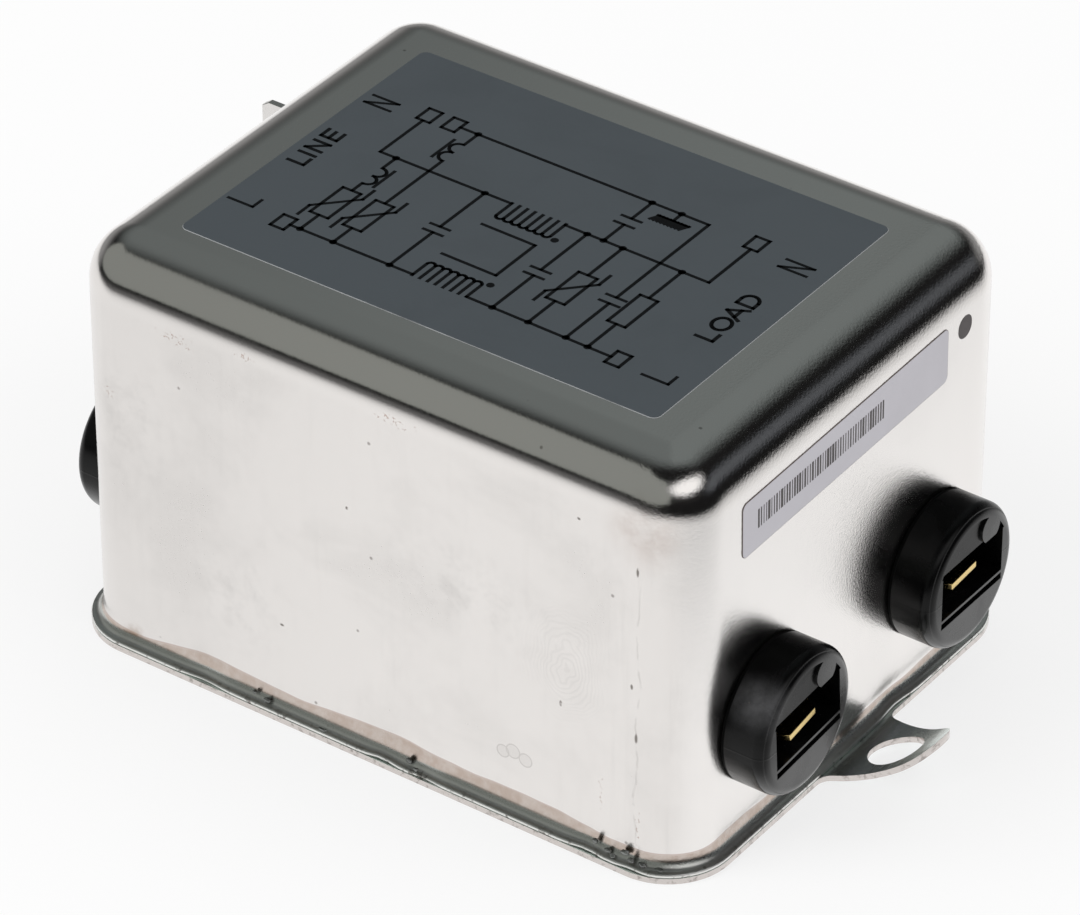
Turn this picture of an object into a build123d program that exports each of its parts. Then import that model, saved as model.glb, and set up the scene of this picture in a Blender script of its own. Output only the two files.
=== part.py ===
from build123d import *
import math
import os

# Mains line filter in a deep-drawn steel can with shrouded blade terminals, in millimetres.
# The origin is the middle of the can's footprint, on the underside of the base plate.
# +X points to the load end, +Y to the neutral side, +Z up.

# Can: one deep-drawn cup, open below, with a narrow flange around its mouth
can_length = 80.0
can_width = 61.0
overall_height = 51.0
can_sheet = 0.5
corner_radius = 6.4
crown_radius = 6.2
flange_out = 1.4
flare_radius = 1.0

# Base plate with an ear at each end, welded to the flange
plate_sheet = 0.7
ear_reach = 10.9
ear_root_width = 12.8
ear_root_fillet = 1.5
ear_tip_radius = 4.1
ear_hole_radius = 3.0
ear_hole_from_flange = 5.0
ear_bend_radius = 18.0
ear_bend_start = 8.0
mouth_land = 0.1

# Moulded terminal bushings, two on each end wall
terminal_spacing = 31.4
terminal_height = 15.1
head_overlap = 0.8
head_out = 5.4
head_fillet = 1.4
head_back_fillet = 0.35
neck_wall = 0.9
neck_clearance = 0.1
neck_length = 6.1
barb_height = 0.7
barb_width = 4.0
barb_length = 2.0
pocket_width = 11.8
pocket_height = 5.5
pocket_lift = 0.45
pocket_depth = 9.5
groove_height = 0.8
groove_depth = 1.2
groove_rib = 0.35
face_rim = 1.5
face_recess_depth = 0.35
mould_disc_radius = 1.75
mould_disc_place = (3.5, 4.6)
load_live_roll = 4.0

# Blade terminals
blade_width = 6.3
blade_sheet = 0.8
blade_tip_width = 4.7
blade_tip_taper = 1.45
blade_set_back = 1.0
blade_hole_radius = 0.9
blade_hole_from_tip = 4.2
blade_fit = 0.05
tail_width = 4.0
tail_run = 4.5
tail_bend = 0.6
tail_above_board = 1.5

# Earth blade on the line end wall, bent from a riveted foot
earth_y = 15.3
earth_top_below_crown = 9.7
earth_out = 8.7
earth_foot_length = 8.0
earth_tip_chamfer = (0.9, 0.6)
rivet_radius = 1.5
rivet_head_radius = 2.7
rivet_head_height = 0.9
rivet_head_edge = 0.7
lug_sheet = 0.6
lug_rim = 0.5
lug_tongue = 3.0
earth_lead_radius = 0.7
earth_lead_run = 1.5
earth_lead_bend = 1.1
earth_lead_crimp = 2.0
crimp_bite = 0.1

# Adhesive labels
label_sheet = 0.12
top_label_end_margin = 3.2
top_label_side_margin = 2.55
top_label_corner = 1.0
top_label_place = (-0.24, -0.6)
side_label_margin = 4.9
side_label_height = 7.8
side_label_corner = 0.5
side_label_y = -1.6
side_label_below_rounding = 0.45

# Circuit board, held on the tails of the blades, and the liner that stands on it
board_sheet = 1.6
board_over_bushings = 0.6
board_gap = 0.5
lead_hole_clearance = 0.1
lead_stub = 1.5
liner_sheet = 0.3
liner_gap = 0.3
window_gap = 0.5

# Common mode choke: a ring core with one winding on each half
core_inner = 8.0
core_outer = 15.0
core_edge = 0.5
core_above_board = 3.0
choke_headroom = 8.0
winding_wire = 1.2
winding_gap = 0.1
winding_turns = 11
winding_spread = 140.0
winding_bend = 1.0
divider_sheet = 1.5
divider_rise = 1.0
divider_foot_inset = 0.5

# Parts on the board: a row along its middle, and smaller parts along its long edges
x_capacitor_length = 7.0
x_capacitor_width = 18.0
x_capacitor_height = 14.0
x_capacitor_pitch = 15.0
x_capacitor_edge = 0.8
varistor_radius = 7.0
varistor_thickness = 4.2
varistor_pitch = 7.5
y_capacitor_radius = 4.0
y_capacitor_thickness = 3.5
y_capacitor_pitch = 5.0
y_capacitor_from_choke = 13.0
disc_above_board = 0.8
disc_rounding = 0.45
fuse_radius = 1.7
fuse_length = 9.0
resistor_radius = 1.2
resistor_length = 6.5
axial_above_board = 0.2
axial_lead_run = 1.5
axial_rounding = 0.3
part_to_end_gap = 3.0
part_to_side_gap = 1.4
lead_radius = 0.4
lead_bite = 1.0

# Levels and faces worked out from the sizes above
flange_top = plate_sheet + can_sheet
ceiling = overall_height - can_sheet
end_wall = can_length / 2
inner_end_wall = end_wall - can_sheet
inner_side_wall = can_width / 2 - can_sheet
ear_edge = end_wall + flange_out

# The neck is as large as its pocket needs, and the head covers the hole in the wall
pocket_top = pocket_lift + pocket_height / 2
pocket_bottom = pocket_lift - pocket_height / 2
neck_radius = math.hypot(pocket_width / 2, pocket_top) + neck_wall
head_radius = neck_radius + head_overlap

# The board lies just over the bushings' barbs
board_height = terminal_height + neck_radius + barb_height + board_over_bushings
board_top = board_height + board_sheet
lead_bottom = board_height - lead_stub
lead_hole_radius = lead_radius + lead_hole_clearance

# Room inside the liner
room_end = inner_end_wall - liner_gap - liner_sheet
room_side = inner_side_wall - liner_gap - liner_sheet
room_top = ceiling - liner_gap - liner_sheet

# The choke's windings lie around its core, and leave headroom under the liner
winding_reach = core_outer + winding_gap + winding_wire
core_bottom = board_top + core_above_board
core_height = room_top - choke_headroom - winding_wire - winding_gap - core_bottom

# The earth blade's rivet, in the middle of the flat stretch of its foot
earth_middle = overall_height - earth_top_below_crown - blade_width / 2
rivet_y = earth_y - (earth_foot_length + blade_sheet / 2 + tail_bend) / 2
lug_radius = rivet_head_radius + lug_rim

# The earth lead's wire runs along the end wall, then goes down through the board
earth_wire_x = -inner_end_wall + lug_sheet + earth_lead_radius - crimp_bite
earth_lead_x = earth_wire_x + 3 * earth_lead_bend
earth_lead_y = rivet_y + lug_radius + lug_tongue + earth_lead_run


def upright_block(length, width, radius, bottom, top):
    """A block with rounded upright corners, centred on the Z axis."""
    return Pos(0, 0, bottom) * extrude(RectangleRounded(length, width, radius), top - bottom)


def along_x(sketch, start, length):
    """A sketch whose x and y are the part's Y and Z, extruded from x = start towards +X."""
    return extrude(Plane.YZ.offset(start) * sketch, length)


def edges_at(solid, level):
    """The edges that lie flat at one level."""
    return solid.edges().filter_by_position(Axis.Z, level, level)


def edges_within(solid, level, length, width):
    """The edges at one level that lie inside a length and width around the Z axis."""
    boxes = [(edge, edge.bounding_box()) for edge in edges_at(solid, level)]
    near = 0.01
    return [edge for edge, box in boxes
            if max(abs(box.min.X), abs(box.max.X)) < length / 2 + near
            and max(abs(box.min.Y), abs(box.max.Y)) < width / 2 + near]


def terminals():
    """Name, place and roll of the four terminals: local +X points out of the wall."""
    half = terminal_spacing / 2
    return {
        "line_live": Pos(-end_wall, -half, terminal_height) * Rot(0, 0, 180),
        "line_neutral": Pos(-end_wall, half, terminal_height) * Rot(0, 0, 180),
        "load_live": Pos(end_wall, -half, terminal_height) * Rot(load_live_roll, 0, 0),
        "load_neutral": Pos(end_wall, half, terminal_height),
    }


# Ears and base plate

def ear_outline():
    """The ear seen from above: it narrows from its root to a round tip, with fillets at the root."""
    tip = Pos(ear_edge + ear_reach - ear_tip_radius, 0) * Circle(ear_tip_radius)
    half = ear_root_width / 2
    root = Line((ear_edge, -half), (ear_edge, half))
    tongue = make_hull([root] + tip.edges())
    inner = Pos(ear_edge - flange_out, 0) * Rectangle(
        2 * flange_out, ear_root_width + 4 * ear_root_fillet)
    shape = tongue + inner
    notches = shape.vertices().filter_by_position(Axis.X, ear_edge - 0.01, ear_edge + 0.01)
    notches = [corner for corner in notches if abs(abs(corner.Y) - half) < 0.01]
    return fillet(notches, ear_root_fillet)


def curled_strip():
    """Side section of the load end's ear, which is bent upwards along an arc."""
    start = math.radians(ear_bend_start)
    bend_x = ear_edge + plate_sheet * math.sin(start)
    root_x = ear_edge - flange_out
    centre = (bend_x - ear_bend_radius * math.sin(start), ear_bend_radius * math.cos(start))
    end = math.asin((ear_edge + ear_reach - centre[0]) / (ear_bend_radius - plate_sheet))

    def on_arc(radius, angle):
        return (centre[0] + radius * math.sin(angle), centre[1] - radius * math.cos(angle))

    top_radius = ear_bend_radius - plate_sheet
    middle = (start + end) / 2
    outline = [
        Line((root_x, 0), (bend_x, 0)),
        ThreePointArc((bend_x, 0), on_arc(ear_bend_radius, middle), on_arc(ear_bend_radius, end)),
        Line(on_arc(ear_bend_radius, end), on_arc(top_radius, end)),
        ThreePointArc(on_arc(top_radius, end), on_arc(top_radius, middle), on_arc(top_radius, start)),
        Line(on_arc(top_radius, start), (root_x, plate_sheet)),
        Line((root_x, plate_sheet), (root_x, 0)),
    ]
    section = Plane.XZ * make_face(outline)
    return extrude(section, ear_root_width, both=True)


def base_plate():
    """The flat plate with a flat ear at the line end and a curled one at the load end."""
    plate = upright_block(can_length + 2 * flange_out, can_width + 2 * flange_out,
                          corner_radius + flange_out, 0, plate_sheet)
    outline = ear_outline()
    curled = curled_strip() & extrude(outline, 2 * ear_reach)
    flat = Rot(0, 0, 180) * extrude(outline, plate_sheet)
    hole_x = ear_edge + ear_hole_from_flange
    for x in (-hole_x, hole_x):
        bore = Pos(x, 0, ear_reach / 2) * Cylinder(ear_hole_radius, 2 * ear_reach)
        curled -= bore
        flat -= bore
    return plate + curled + flat


# Can

def can():
    """The drawn cup with its crown, its flared mouth and the holes for bushings and rivet."""
    cup = upright_block(can_length, can_width, corner_radius, plate_sheet, overall_height)
    cup = fillet(edges_at(cup, overall_height), crown_radius)
    hollow = upright_block(can_length - 2 * can_sheet, can_width - 2 * can_sheet,
                           corner_radius - can_sheet, plate_sheet, ceiling)
    hollow = fillet(edges_at(hollow, ceiling), crown_radius - can_sheet)
    flange = upright_block(can_length + 2 * flange_out, can_width + 2 * flange_out,
                           corner_radius + flange_out, plate_sheet, flange_top)
    cup = cup + flange
    cup = fillet(edges_within(cup, flange_top, can_length, can_width), flare_radius)
    cup -= hollow
    cup = fillet(edges_within(cup, plate_sheet, 2 * inner_end_wall, 2 * inner_side_wall),
                 flare_radius + can_sheet - mouth_land)
    for place in terminals().values():
        hole = along_x(Circle(neck_radius + neck_clearance), -2 * can_sheet, 3 * can_sheet)
        cup -= place * hole
    return cup - rivet_hole()


# Terminal bushings and blades

def bushing():
    """One moulded bushing: a head with a deep pocket, a neck through the wall and two barbs."""
    head = along_x(Circle(head_radius), 0, head_out)
    head = fillet(head.faces().sort_by(Axis.X)[-1].edges(), head_fillet)
    head = fillet(head.faces().sort_by(Axis.X)[0].edges(), head_back_fillet)
    body = head + along_x(Circle(neck_radius), -neck_length, neck_length)
    for side in (-1, 1):
        lip = Polyline((-can_sheet - neck_clearance, neck_radius - barb_height),
                       (-can_sheet - neck_clearance, neck_radius + barb_height),
                       (-can_sheet - neck_clearance - barb_length, neck_radius - barb_height),
                       close=True)
        barb = extrude(Plane.XZ * make_face(lip), barb_width / 2, both=True)
        body += Rot(90 - 90 * side, 0, 0) * barb
    upper = Circle(head_radius - face_rim) & Pos(0, pocket_top + head_radius) * Rectangle(
        2 * head_radius, 2 * head_radius)
    disc = Pos(*mould_disc_place) * Circle(mould_disc_radius) & upper
    body -= along_x(upper, head_out - face_recess_depth, face_recess_depth)
    body += along_x(disc, head_out - face_recess_depth, face_recess_depth)
    body -= along_x(Pos(0, pocket_lift) * Rectangle(pocket_width, pocket_height),
                    head_out - pocket_depth, pocket_depth)
    body -= along_x(Pos(0, pocket_bottom - groove_rib - groove_height / 2)
                    * Rectangle(pocket_width, groove_height), head_out - groove_depth, groove_depth)
    slot = Rectangle(blade_width + 2 * blade_fit, blade_sheet + 2 * blade_fit)
    return body - along_x(slot, -neck_length, neck_length)


def blade():
    """One blade: a tapered nose in the pocket, and a narrower tail that turns up to the board."""
    tip = head_out - blade_set_back
    shoulder = -neck_length
    nose = Polyline((shoulder, -blade_width / 2), (tip - blade_tip_taper, -blade_width / 2),
                    (tip, -blade_tip_width / 2), (tip, blade_tip_width / 2),
                    (tip - blade_tip_taper, blade_width / 2), (shoulder, blade_width / 2), close=True)
    nose = extrude(make_face(nose), blade_sheet / 2, both=True)
    nose -= Pos(tip - blade_hole_from_tip, 0, 0) * Cylinder(blade_hole_radius, 2 * blade_sheet)
    return nose + tail(0)


def tail(clearance):
    """The bent tail of a blade, or with a clearance the space that it needs in the board."""
    top = board_top + tail_above_board - terminal_height
    path = FilletPolyline((-neck_length, 0, 0), (-neck_length - tail_run, 0, 0),
                          (-neck_length - tail_run, 0, top), radius=tail_bend + blade_sheet / 2)
    section = Plane(origin=(-neck_length, 0, 0), x_dir=(0, 1, 0), z_dir=(-1, 0, 0)) * Rectangle(
        tail_width + 2 * clearance, blade_sheet + 2 * clearance)
    return sweep(section, path=path)


# Earth blade, rivet and lead

def rivet_hole():
    """The bore that the earth blade's rivet fills, through the foot, the wall and the lug."""
    bore = Cylinder(rivet_radius, 2 * (blade_sheet + can_sheet + lug_sheet))
    return Pos(-end_wall, rivet_y, earth_middle) * Rot(0, 90, 0) * bore


def earth_blade():
    """A foot flat on the end wall and a blade that stands out of it, with a chamfered nose."""
    foot_line = -end_wall - blade_sheet / 2
    path = FilletPolyline((foot_line, earth_y - earth_foot_length, earth_middle),
                          (foot_line, earth_y, earth_middle),
                          (-end_wall - earth_out, earth_y, earth_middle),
                          radius=tail_bend + blade_sheet / 2)
    start = Plane(origin=path @ 0, x_dir=(0, 0, 1), z_dir=path % 0)
    strip = sweep(start * Rectangle(blade_width, blade_sheet), path=path)
    nose = strip.edges().filter_by(Axis.Y).sort_by(Axis.X)[:2]
    strip = chamfer(nose, earth_tip_chamfer[0], earth_tip_chamfer[1])
    hole = Pos(-end_wall - earth_out + blade_hole_from_tip, earth_y, earth_middle)
    strip -= hole * Rot(90, 0, 0) * Cylinder(blade_hole_radius, 2 * blade_sheet)
    return strip - rivet_hole()


def earth_rivet():
    """A solid rivet with a domed head outside and a flat one inside."""
    outer_face = -end_wall - blade_sheet
    inner_face = -inner_end_wall + lug_sheet
    rivet = along_x(Circle(rivet_radius), outer_face, inner_face - outer_face)
    inside = along_x(Circle(rivet_head_radius), inner_face, rivet_head_height)
    outside = along_x(Circle(rivet_head_radius), outer_face - rivet_head_height, rivet_head_height)
    outside = fillet(outside.faces().sort_by(Axis.X)[0].edges(), rivet_head_edge)
    return Pos(0, rivet_y, earth_middle) * (rivet + inside + outside)


def earth_lead():
    """A ring lug under the rivet's inner head, with a wire that goes down into the board."""
    reach = lug_radius + lug_tongue
    ring = Circle(lug_radius) + Pos(reach / 2, 0) * Rectangle(reach, lug_radius)
    lug = Pos(0, rivet_y, earth_middle) * along_x(ring, -inner_end_wall, lug_sheet)
    path = FilletPolyline((earth_wire_x, rivet_y + reach - earth_lead_crimp, earth_middle),
                          (earth_wire_x, earth_lead_y, earth_middle),
                          (earth_lead_x, earth_lead_y, earth_middle),
                          (earth_lead_x, earth_lead_y, lead_bottom), radius=earth_lead_bend)
    wire = sweep(Plane(origin=path @ 0, z_dir=path % 0) * Circle(earth_lead_radius), path=path)
    return lug + wire - rivet_hole()


# Labels

def top_label():
    """The rating label on the crown, a thin foil with small round corners."""
    x, y = top_label_place
    foil = upright_block(can_length - 2 * (crown_radius + top_label_end_margin),
                         can_width - 2 * (crown_radius + top_label_side_margin),
                         top_label_corner, overall_height, overall_height + label_sheet)
    return Pos(x, y, 0) * foil


def side_label():
    """The small label high on the load end wall."""
    top = overall_height - crown_radius - side_label_below_rounding
    middle = top - side_label_height / 2
    sketch = RectangleRounded(can_width - 2 * (corner_radius + side_label_margin),
                              side_label_height, side_label_corner)
    return along_x(Pos(side_label_y, middle) * sketch, end_wall, label_sheet)


# Parts in the board's middle row

def board_row():
    """Where each part in the row stands along X. The parts share the room's free length evenly."""
    row = {
        "line_live_varistor": varistor_thickness,
        "line_neutral_varistor": varistor_thickness,
        "line_x_capacitor": x_capacitor_length,
        "choke": 2 * winding_reach,
        "load_x_capacitor": x_capacitor_length,
        "load_varistor": varistor_thickness,
    }
    gap = (2 * room_end - sum(row.values())) / (len(row) + 1)
    places = {}
    x = -room_end
    for name, length in row.items():
        places[name] = x + gap + length / 2
        x += gap + length
    return places


row_x = board_row()


# Choke

def ring_point(radius, angle, z):
    """A point around the choke's axis; the angle is in degrees from +X."""
    turn = math.radians(angle)
    return (row_x["choke"] + radius * math.cos(turn), radius * math.sin(turn), z)


def winding_ends(middle):
    """The angles of a winding's first and last lead."""
    return (middle - winding_spread / 2, middle + winding_spread / 2)


def choke_winding(middle):
    """One wire wound around half of the ring, from a board hole, turn after turn, to another."""
    stand_off = winding_wire / 2 + winding_gap
    inner = core_inner - stand_off
    outer = core_outer + stand_off
    low = core_bottom - stand_off
    high = core_bottom + core_height + stand_off
    pitch = winding_spread / winding_turns
    first, last = winding_ends(middle)
    points = [ring_point(outer, first, lead_bottom)]
    for turn in range(winding_turns):
        angle = first + turn * pitch
        points.append(ring_point(outer, angle, high))
        points.append(ring_point(inner, angle, high))
        points.append(ring_point(inner, angle, low))
        points.append(ring_point(outer, angle + pitch, low))
    points.append(ring_point(outer, last, lead_bottom))
    path = FilletPolyline(*points, radius=winding_bend)
    start = Plane(origin=path @ 0, z_dir=path % 0)
    return sweep(start * Circle(winding_wire / 2), path=path)


def choke_core():
    """The ring core in its coating, with softened edges."""
    ring = Circle(core_outer) - Circle(core_inner)
    core = extrude(ring, core_height)
    return Pos(row_x["choke"], 0, core_bottom) * fillet(core.edges(), core_edge)


def choke_divider():
    """A plate through the ring that keeps the windings apart; its feet carry the core."""
    reach = core_outer - divider_foot_inset
    feet = Box(2 * reach, divider_sheet, core_above_board, align=(Align.CENTER, Align.CENTER, Align.MIN))
    plate = Box(2 * (core_inner - winding_gap), divider_sheet,
                core_above_board + core_height + divider_rise,
                align=(Align.CENTER, Align.CENTER, Align.MIN))
    return Pos(row_x["choke"], 0, board_top) * (feet + plate)


# Parts on the board

def lead(x, y, top):
    """A straight lead from inside a part down through the board."""
    stem = Cylinder(lead_radius, top - lead_bottom, align=(Align.CENTER, Align.CENTER, Align.MIN))
    return Pos(x, y, lead_bottom) * stem


def x_capacitor(x):
    """A box capacitor that stands on the board."""
    box = Box(x_capacitor_length, x_capacitor_width, x_capacitor_height,
              align=(Align.CENTER, Align.CENTER, Align.MIN))
    rounded = box.faces().sort_by(Axis.Z)[-1].edges() + box.edges().filter_by(Axis.Z)
    box = Pos(x, 0, board_top) * fillet(rounded, x_capacitor_edge)
    for side in (-1, 1):
        box += lead(x, side * x_capacitor_pitch / 2, board_top + lead_bite)
    return box


def disc_part(x, y, radius, thickness, pitch):
    """A coated disc that stands on edge above the board on two leads."""
    centre = board_top + disc_above_board + radius
    disc = along_x(Circle(radius), -thickness / 2, thickness)
    disc = Pos(x, y, centre) * fillet(disc.edges(), disc_rounding * thickness)
    for side in (-1, 1):
        disc += lead(x, y + side * pitch / 2, centre - radius / 3)
    return disc


def axial_place(end, radius, length):
    """The middle of an axial part near one end of the board: -1 is the line end, 1 the load end."""
    reach = length / 2 + axial_lead_run
    return (end * (room_end - part_to_end_gap - lead_radius - reach),
            room_side - part_to_side_gap - radius)


def axial_part(x, y, radius, length):
    """A small cylinder that lies along X, with leads bent down into the board."""
    z = board_top + axial_above_board + radius
    body = along_x(Circle(radius), -length / 2, length)
    body = Pos(x, y, z) * fillet(body.edges(), axial_rounding * radius)
    reach = length / 2 + axial_lead_run
    path = FilletPolyline((x - reach, y, lead_bottom), (x - reach, y, z),
                          (x + reach, y, z), (x + reach, y, lead_bottom), radius=2 * lead_radius)
    wire = sweep(Plane(origin=path @ 0, z_dir=path % 0) * Circle(lead_radius), path=path)
    return body + wire


y_capacitor_place = (row_x["choke"] + y_capacitor_from_choke,
                     room_side - part_to_side_gap - y_capacitor_radius)
fuse_place = axial_place(-1, fuse_radius, fuse_length)
resistor_place = axial_place(1, resistor_radius, resistor_length)


def lead_places():
    """Every round hole in the board: its centre and radius."""
    pairs = [(row_x[name], 0, x_capacitor_pitch / 2) for name in row_x if name.endswith("x_capacitor")]
    pairs += [(row_x[name], 0, varistor_pitch / 2) for name in row_x if name.endswith("varistor")]
    pairs += [(y_capacitor_place[0], side * y_capacitor_place[1], y_capacitor_pitch / 2)
              for side in (-1, 1)]
    places = [(x, y + side * half, lead_hole_radius) for x, y, half in pairs for side in (-1, 1)]
    x, y = fuse_place
    reach = fuse_length / 2 + axial_lead_run
    places += [(x + end * reach, side * y, lead_hole_radius) for end in (-1, 1) for side in (-1, 1)]
    x, y = resistor_place
    reach = resistor_length / 2 + axial_lead_run
    places += [(x + end * reach, y, lead_hole_radius) for end in (-1, 1)]
    for middle in (-90, 90):
        for angle in winding_ends(middle):
            x, y, _ = ring_point(core_outer + winding_wire / 2 + winding_gap, angle, 0)
            places.append((x, y, winding_wire / 2 + lead_hole_clearance))
    places.append((earth_lead_x, earth_lead_y, earth_lead_radius + lead_hole_clearance))
    return places


def circuit_board():
    """The board, with a slot for each blade's tail and a hole for each lead."""
    board = upright_block(2 * (inner_end_wall - board_gap), 2 * (inner_side_wall - board_gap),
                          corner_radius - can_sheet - board_gap, board_height, board_top)
    for place in terminals().values():
        board -= place * tail(2 * blade_fit)
    for x, y, radius in lead_places():
        board -= Pos(x, y, board_height + board_sheet / 2) * Cylinder(radius, 2 * board_sheet)
    return board


def insulating_liner():
    """A thin moulded cap between the can and the parts; it stands on the board's edge."""
    corner = corner_radius - can_sheet - liner_gap
    crown = crown_radius - can_sheet - liner_gap
    roof = room_top + liner_sheet
    outside = upright_block(2 * (room_end + liner_sheet), 2 * (room_side + liner_sheet), corner,
                            board_top, roof)
    outside = fillet(edges_at(outside, roof), crown)
    inside = upright_block(2 * room_end, 2 * room_side, corner - liner_sheet, board_top, room_top)
    inside = fillet(edges_at(inside, room_top), crown - liner_sheet)
    window_start = rivet_y - lug_radius - window_gap
    window_end = earth_lead_y + earth_lead_radius + window_gap
    window_top = earth_middle + lug_radius + window_gap
    window = Box(4 * liner_sheet, window_end - window_start, window_top - board_top,
                 align=(Align.CENTER, Align.MIN, Align.MIN))
    return outside - inside - Pos(-room_end, window_start, board_top) * window


# All pieces, by name

pieces = {
    "can": can(),
    "base_plate": base_plate(),
    "rating_label": top_label(),
    "side_label": side_label(),
    "earth_blade": earth_blade(),
    "earth_rivet": earth_rivet(),
    "earth_lead": earth_lead(),
    "circuit_board": circuit_board(),
    "insulating_liner": insulating_liner(),
    "choke_core": choke_core(),
    "choke_divider": choke_divider(),
    "choke_winding_live": choke_winding(-90),
    "choke_winding_neutral": choke_winding(90),
    "bleed_resistor": axial_part(*resistor_place, resistor_radius, resistor_length),
}
one_bushing = bushing()
one_blade = blade()
for name, place in terminals().items():
    pieces[name + "_bushing"] = place * one_bushing
    pieces[name + "_blade"] = place * one_blade
for name, x in row_x.items():
    if name.endswith("x_capacitor"):
        pieces[name] = x_capacitor(x)
    if name.endswith("varistor"):
        pieces[name] = disc_part(x, 0, varistor_radius, varistor_thickness, varistor_pitch)
for name, side in {"live": -1, "neutral": 1}.items():
    x, y = y_capacitor_place
    pieces[name + "_y_capacitor"] = disc_part(x, side * y, y_capacitor_radius,
                                              y_capacitor_thickness, y_capacitor_pitch)
    x, y = fuse_place
    pieces[name + "_thermal_fuse"] = axial_part(x, side * y, fuse_radius, fuse_length)

os.makedirs("parts", exist_ok=True)
for name, shape in pieces.items():
    shape.label = name
    export_step(shape, f"parts/{name}.step")
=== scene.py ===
# %% [markdown]
# # A mains line filter in a drawn steel can
#
# The object is a small tinned can with a foil label on its crown, four black terminal bushings
# with brass blades, and a thin base plate with two mounting ears. The solids come from the
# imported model, which is the fixed frame for everything below: lengths are metres, +X is the
# load end, +Y the neutral side and +Z is up.

# %% Load the frame
import math
from collections import namedtuple

import bmesh
import bpy
from mathutils import Matrix, Vector


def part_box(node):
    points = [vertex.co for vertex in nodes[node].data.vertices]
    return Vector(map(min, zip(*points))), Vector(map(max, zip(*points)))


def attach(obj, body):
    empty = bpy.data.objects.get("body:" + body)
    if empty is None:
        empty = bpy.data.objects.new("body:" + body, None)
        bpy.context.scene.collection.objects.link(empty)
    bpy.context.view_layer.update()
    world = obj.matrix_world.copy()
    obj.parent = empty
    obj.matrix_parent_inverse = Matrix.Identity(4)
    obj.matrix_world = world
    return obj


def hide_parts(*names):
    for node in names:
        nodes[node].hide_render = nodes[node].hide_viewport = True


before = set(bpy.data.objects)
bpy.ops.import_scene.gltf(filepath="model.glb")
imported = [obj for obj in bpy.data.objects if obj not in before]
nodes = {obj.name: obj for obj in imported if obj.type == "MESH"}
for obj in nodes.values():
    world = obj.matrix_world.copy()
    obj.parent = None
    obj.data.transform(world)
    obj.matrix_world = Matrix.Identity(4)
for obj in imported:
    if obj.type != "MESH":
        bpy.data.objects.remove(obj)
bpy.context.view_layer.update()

MM = 0.001
print("nodes in the frame:", len(nodes))

# %% [markdown]
# ## Camera
#
# The photograph was taken from the load end's live side, a little over 35 degrees above the
# table, with a long lens. A long lens keeps upright edges nearly parallel, so its focal length
# matters as much as its place: both were worked out from the label's corners and the can's
# outline.

# %% Camera at the photograph's viewing angle
camera_place = Vector((0.3478, -0.4859, 0.4413))
camera_right = Vector((0.8131, 0.5821, 0.0)).normalized()
camera_up = Vector((-0.3348, 0.4676, 0.8181)).normalized()
camera_lens = 225.85

camera_data = bpy.data.cameras.new("photo_view")
camera_data.sensor_width = 36.0
camera_data.lens = camera_lens
camera_data.clip_start = 0.01
camera = bpy.data.objects.new("photo_view", camera_data)
camera_back = camera_right.cross(camera_up).normalized()
turn = Matrix((camera_right, camera_up, camera_back)).transposed()
camera.matrix_world = Matrix.Translation(camera_place) @ turn.to_4x4()
bpy.context.scene.collection.objects.link(camera)
bpy.context.scene.camera = camera
print("camera looks along", [round(-value, 3) for value in camera_back])

# %% [markdown]
# ## Small helpers
#
# Most pieces are built in millimetres and then brought to metres in one place, so that the
# numbers below can be read as sizes on a drawing. Each piece ends as a plain mesh whose object
# sits at the origin and rides on the frame's one body.

# %% Turning a bmesh into a piece
def add_piece(name, mesh, material, replaced=()):
    """Puts a finished mesh into the scene as a piece of the object."""
    piece = bpy.data.objects.new(name, mesh)
    bpy.context.scene.collection.objects.link(piece)
    mesh.materials.clear()
    mesh.materials.append(material)
    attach(piece, "root")
    if replaced:
        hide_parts(*replaced)
    print(name, "has", len(mesh.polygons), "faces")
    return piece


def mesh_from(bm, name, sharp_angle=35.0):
    """Writes a bmesh in millimetres to a smooth-shaded mesh in metres, with sharp corners kept."""
    bm.normal_update()
    bmesh.ops.scale(bm, vec=(MM, MM, MM), verts=bm.verts)
    mesh = bpy.data.meshes.new(name)
    bm.to_mesh(mesh)
    bm.free()
    mesh.polygons.foreach_set("use_smooth", [True] * len(mesh.polygons))
    mesh.set_sharp_from_angle(angle=math.radians(sharp_angle))
    return mesh


# %% Baking modifiers into a mesh
def baked(mesh, *modifiers, name="baked"):
    """The mesh with modifiers applied. Each modifier is a type and its settings."""
    holder = bpy.data.objects.new(name, mesh)
    bpy.context.scene.collection.objects.link(holder)
    for kind, settings in modifiers:
        modifier = holder.modifiers.new(kind, kind)
        for key, value in settings.items():
            setattr(modifier, key, value)
    bpy.context.view_layer.update()
    graph = bpy.context.evaluated_depsgraph_get()
    result = bpy.data.meshes.new_from_object(holder.evaluated_get(graph))
    result.name = name
    bpy.data.objects.remove(holder)
    return result


# %% [markdown]
# ## Shared finishes
#
# Sheet metal, moulded plastic and print all show a fine grain when they are seen this close,
# and a few faint smudges. Both effects are node groups with named inputs, so that each material
# can place them with its own scale and strength. Groups only put out values and normals: the
# shader itself stays in each material.

# %% Node helpers
def group_tree(name, inputs, outputs, kind="ShaderNodeTree"):
    """An empty node group with named sockets, and its input and output nodes."""
    tree = bpy.data.node_groups.new(name, kind)
    for label, socket_type, default in inputs:
        socket = tree.interface.new_socket(label, in_out="INPUT", socket_type=socket_type)
        if default is not None:
            socket.default_value = default
    for label, socket_type in outputs:
        tree.interface.new_socket(label, in_out="OUTPUT", socket_type=socket_type)
    return tree, tree.nodes.new("NodeGroupInput"), tree.nodes.new("NodeGroupOutput")


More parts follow.
